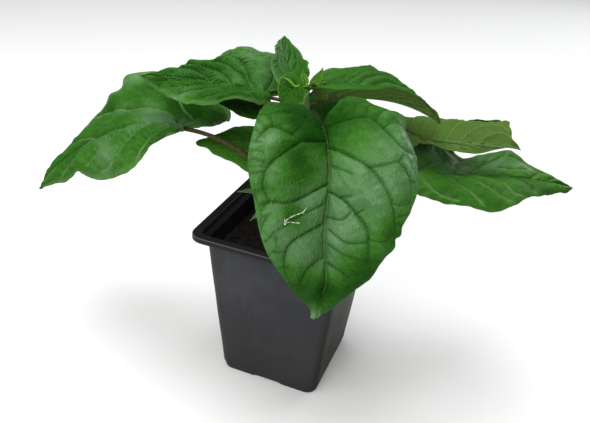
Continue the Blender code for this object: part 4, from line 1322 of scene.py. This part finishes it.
def painted_light_at(leaf, x, y):
    """The sum of a leaf's patches of painted light, each a bell round its place on the flat blade: a
    painted sheen where the sum is above 0, painted shade below.
    """
    total = 0 * x
    for t, v, reach, amount in leaf.habit.tone:
        px, py = flat_place(leaf, np.array([t / 100]), np.array([v / 100]))
        total = total + amount * bell(np.hypot(x - px, y - py), reach)
    return total


def painted_glint_side(leaf, x, y, height):
    """How far the surface tilts towards the glint's direction, as painted light: added to the patches, it
    gives a painted highlight on flanks that tilt that way and painted shade on the others. A grid's slopes
    along x and y follow from its steps: (slope x, slope y) = (h_t y_v - h_v y_t, h_v x_t - h_t x_v) /
    (x_t y_v - x_v y_t)."""
    turn, amount = leaf.habit.glint
    turn = math.radians(turn)
    (x_t, x_v), (y_t, y_v), (h_t, h_v) = np.gradient(x), np.gradient(y), np.gradient(height)
    area = x_t * y_v - x_v * y_t
    area = np.where(np.abs(area) < FLAT_SLOPE, FLAT_SLOPE, area)
    slope_x, slope_y = (h_t * y_v - h_v * y_t) / area, (h_v * x_t - h_t * x_v) / area
    return amount * np.clip(-slope_x * math.cos(turn) - slope_y * math.sin(turn), -1, 1)


print("waxy or deep patches on leaf_front:", len(LEAVES["leaf_front"].habit.tone))

# %% Blade skin
ROW_ENDS = (0.004, 0.998)
ROW_PACE = 1.2


def blade_skin(name, leaf, rows, half):
    """A closed blade: each ring runs over the upper side from left to right margin and back underneath.

    Rows are spaced as (k / rows)^ROW_PACE along the margin, closer together at the base.
    """
    habit = leaf.habit
    t, v = np.linspace(*ROW_ENDS, rows) ** ROW_PACE, np.linspace(1, -1, 2 * half + 1)
    t, v = np.meshgrid(t, v, indexing="ij")
    x, y = flat_place(leaf, t, v)
    height, rib, side, fine, panel = relief(name, leaf, t, v)
    full = YOUNG_BLADE if leaf.young else BLADE
    thick = full * (0.3 + 0.7 * (1 - np.abs(v) ** 8))
    upper = place_on(leaf, t, v, height + thick / 2)
    lower = place_on(leaf, t, v, height - thick / 2 - full * (0.5 * rib + 0.3 * side))
    points, faces = skin_of(np.concatenate([upper, lower[:, ::-1]], axis=1))

    def both(top, bottom):
        """Values on the upper and the lower side in the skin's order, with the means at its poles."""
        ring = np.concatenate([top, bottom[:, ::-1]], axis=1)
        return np.append(ring, [ring[0].mean(), ring[-1].mean()])

    pale = habit.pale * np.maximum(side, 0.3 * fine)
    pale = np.maximum(pale, 0.9 * rib * (0.55 + 0.45 * habit.pale))
    pale = np.maximum(pale, habit.rim * np.clip((np.abs(v) - 0.9) / 0.06, 0, 1))
    # painted light: the patches and the glint's tilt give a painted sheen above 0 and painted shade below;
    # hollow is painted shade in the vein valleys
    tone = painted_light_at(leaf, x, y) + painted_glint_side(leaf, x, y, height)
    same = {"panel": panel, "stalk": 0.8 * rib * np.clip(1 - x / (0.4 * leaf.length), 0, 1),
            "fresh": 0 * t + habit.fresh, "hollow": np.maximum(side, 0.85 * fine) * (1 - habit.pale)}
    masks = {key: both(values, values) for key, values in same.items()}
    masks["sheen"] = both(np.clip(tone, 0, 1) * (0.35 + 0.65 * panel), 0 * t)
    masks["deep"] = both(np.clip(-tone, 0, 1), 0 * t)
    masks["vein"] = both(pale, np.maximum(pale, 0.7 * np.maximum(rib, side)))
    masks["underside"] = both(0 * t, 0 * t + 1)
    masks["flat"] = np.stack([both(x, x), both(y, y), both(0 * x, 0 * x)], -1)
    return points, faces, masks


print("masks on every leaf:", ", ".join(MASKS))

# %% Stalk skin
STALK_AROUND = 14
STALK_REACH = 0.9  # share of the blade that it runs under
STALK_RINGS, STALK_STEP = 24, 1.6  # at least so many rings, so far apart
STALK_END = {False: 0.36, True: 0.26}  # its last radius, grown or young


def stalk_skin(leaf):
    """A tapering tube from the stem to well along the midrib, where it stands out under the blade."""
    reach = leaf.petiole + STALK_REACH * leaf.length
    s = np.linspace(0, reach, max(STALK_RINGS, round(reach / STALK_STEP)))
    point, forward, sideways, up = frame_at(leaf, s)
    t = (np.clip(s - leaf.petiole, 0, None) / leaf.length) ** (1 / RIB_PACE)
    base, end = petiole_radius(leaf), STALK_END[leaf.young]
    radius = np.interp(s, [0, 2.5, leaf.petiole, reach], [1.25 * base, base, 0.85 * base, end])
    under = np.interp(s, [0.6 * leaf.petiole, leaf.petiole, reach], [0, 0.6, 0.6]) * (radius + 0.1)
    below = point - leaf.habit.over * up * under[:, None]
    centre = np.where((s > leaf.petiole)[:, None], place_on(leaf, t, 0 * t, -under), below)
    points, faces = tube(centre, radius[:, None], sideways, up, STALK_AROUND)
    purple = np.interp(s, [0, leaf.petiole, leaf.petiole + 0.3 * leaf.length, reach], [1, 0.85, 0.35, 0])
    purple = np.append(np.repeat(purple, STALK_AROUND), purple[[0, -1]])
    down = np.clip(-np.sin(turns(STALK_AROUND)), 0, 1)
    zero = np.zeros(len(points))
    # deep on the stalk is its painted shade
    return points, faces, {
        "deep": zero + leaf.habit.stalk_shade, "vein": 0.8 * (1 - purple), "stalk": purple,
        "underside": 0.6 * np.append(np.tile(down, len(s)), [0, 0]),
        "flat": np.stack([np.append(np.repeat(s, STALK_AROUND), [0, 0]), zero, zero], -1)}


print("stalk of leaf_front:", len(stalk_skin(LEAVES["leaf_front"])[0]), "points")

# %% Scar skin
SCAR_AROUND = 6
SCAR_RADIUS = 0.17
SCAR_LIFT = 0.05
SCARS = {
    "leaf_front": (
        [(53.4, -69.6), (54.7, -71.2), (54, -66.5), (54.4, -56.5), (55.1, -45.7), (54.5, -40)],
        [(54.9, -71.2), (55.1, -65.2), (56.4, -58.3), (57.6, -51.7)], [(55.1, -45.7), (56, -43)]),
}


def scar_skin(name, leaf, drawn):
    """A thin raised line of dry tissue: a tube along a curve on the blade, thinned here and there by a
    wave so that it looks broken."""
    t, v = curve_on(drawn, 8)
    lift = relief(name, leaf, t, v)[0] + BLADE / 2 + SCAR_LIFT
    centre = place_on(leaf, t, v, lift)
    above = place_on(leaf, t, v, lift + 1) - centre
    ahead = np.gradient(centre, axis=0)
    sideways = np.cross(above, ahead / np.linalg.norm(ahead, axis=1)[:, None])
    k = np.arange(len(t))
    thin = np.clip(0.6 + 0.5 * np.sin(1.3 * k) * np.sin(0.37 * k + 1), 0.15, 1)
    points, faces = tube(centre, SCAR_RADIUS * thin[:, None], sideways, above, SCAR_AROUND)
    return points, faces, {"scar": np.ones(len(points)), "flat": np.zeros((len(points), 3))}


print("scars:", {name: len(lines) for name, lines in SCARS.items()})

# %% Leaves
GRIDS = {"leaf_front": (230, 101), "leaf_upper_left": (140, 66), "leaf_far_left": (150, 70),
         "leaf_right": (150, 66), "leaf_arching_right": (120, 54), "leaf_back_right": (120, 54),
         "leaf_upright": (100, 46)}
PLAIN_GRID = {False: (80, 36), True: (56, 20)}
BUD_GRID = (30, 10)
BUD_HEADINGS = (20, 290, 325, 200)


def make_leaf(name, leaf):
    skins = [blade_skin(name, leaf, *GRIDS.get(name, PLAIN_GRID[leaf.young])), stalk_skin(leaf)]
    skins += [scar_skin(name, leaf, line) for line in SCARS.get(name, ())]
    paint, slot = (YOUNG_GREEN, "young_leaf") if leaf.young else (GREEN, "leaf")
    return make_piece(name + "_grown", joined(skins, MASKS), paint, name)


def make_bud():
    """Four leaflets, barely open, round the top of the stem."""
    habit = Habit(fresh=0.9, pale=0.6)
    leaflets = [Leaf(175.2, 0.3, 7.5 + k, (3.2, 3.2), rise=(80, 55, 40, 20), heading=(heading,) * 4,
                     lift=(45, 45), curl=(-30, -30), notch=(0.1, 0.1), young=True, habit=habit)
                for k, heading in enumerate(BUD_HEADINGS)]
    skins = [blade_skin("bud", leaf, *BUD_GRID) for leaf in leaflets]
    return make_piece("growing_tip", joined(skins, MASKS), YOUNG_GREEN)


make_bud()
triangles = 0
for name, leaf in LEAVES.items():
    piece = make_leaf(name, leaf)
    piece.data.calc_loop_triangles()
    triangles += len(piece.data.loop_triangles)
print("leaves:", triangles, "triangles")

# %% Stem piece
STEM_AROUND, STEM_RINGS = 40, 260
STEM_DEPTH = 20  # how far it goes down into the compost
SWELL_BELOW, SWELL_REACH = 1.4, 2.2
STEM_DEEP, STEM_LIGHT, STEM_WOODY = (0.05, 0.12, 0.02), (0.12, 0.20, 0.05), (0.12, 0.10, 0.05)
RIBS, RIB_HEIGHT, RIB_WIND = 5, 0.035, 0.05


def stem_paint():
    """Streaked green, woody and browner near the compost."""
    paint = Paint("stem_green")
    place = paint.place()
    streaks = paint.noise(paint.stretched(place, (1, 1, 0.12)), 0.0016, 3)
    woody = paint.height(place).step(0.112, 0.088)
    colour = paint.layers(STEM_DEEP, (streaks.step(0.35, 0.7), STEM_LIGHT), (woody * 0.7, STEM_WOODY))
    normal = paint.bump(streaks, 0.0003, 0.6)
    return paint.finish({"Specular IOR Level": 0.4}, Base_Color=colour, Roughness=streaks * 0.15 + 0.4,
                        Normal=normal)


def make_stem():
    """Radius = taper + a swelling just below each leaf, with five ribs that wind slowly up the stem."""
    z = np.linspace(SOIL_TOP - STEM_DEPTH, STEM_TOP, STEM_RINGS)
    radius = stem_radius(z)
    for leaf in LEAVES.values():
        radius = radius + NODE_SWELL * bell(z - leaf.node + SWELL_BELOW, SWELL_REACH) * (leaf.length > 20)
    radius = radius * np.clip((STEM_TOP + 0.6 - z) / 1.6, 0.3, 1) ** 0.5
    ribs = 1 + RIB_HEIGHT * np.cos(RIBS * turns(STEM_AROUND) + RIB_WIND * z[:, None])
    centre = np.stack([0 * z, 0 * z, z], -1)
    sideways, ahead = np.eye(3)[:2, None]
    skin = tube(centre, radius[:, None] * ribs, sideways, ahead, STEM_AROUND)
    return make_piece("stem_grown", (*skin, {}), stem_paint(), "stem", sharp=70)


stem = make_stem()
print("stem:", len(stem.data.polygons), "faces")
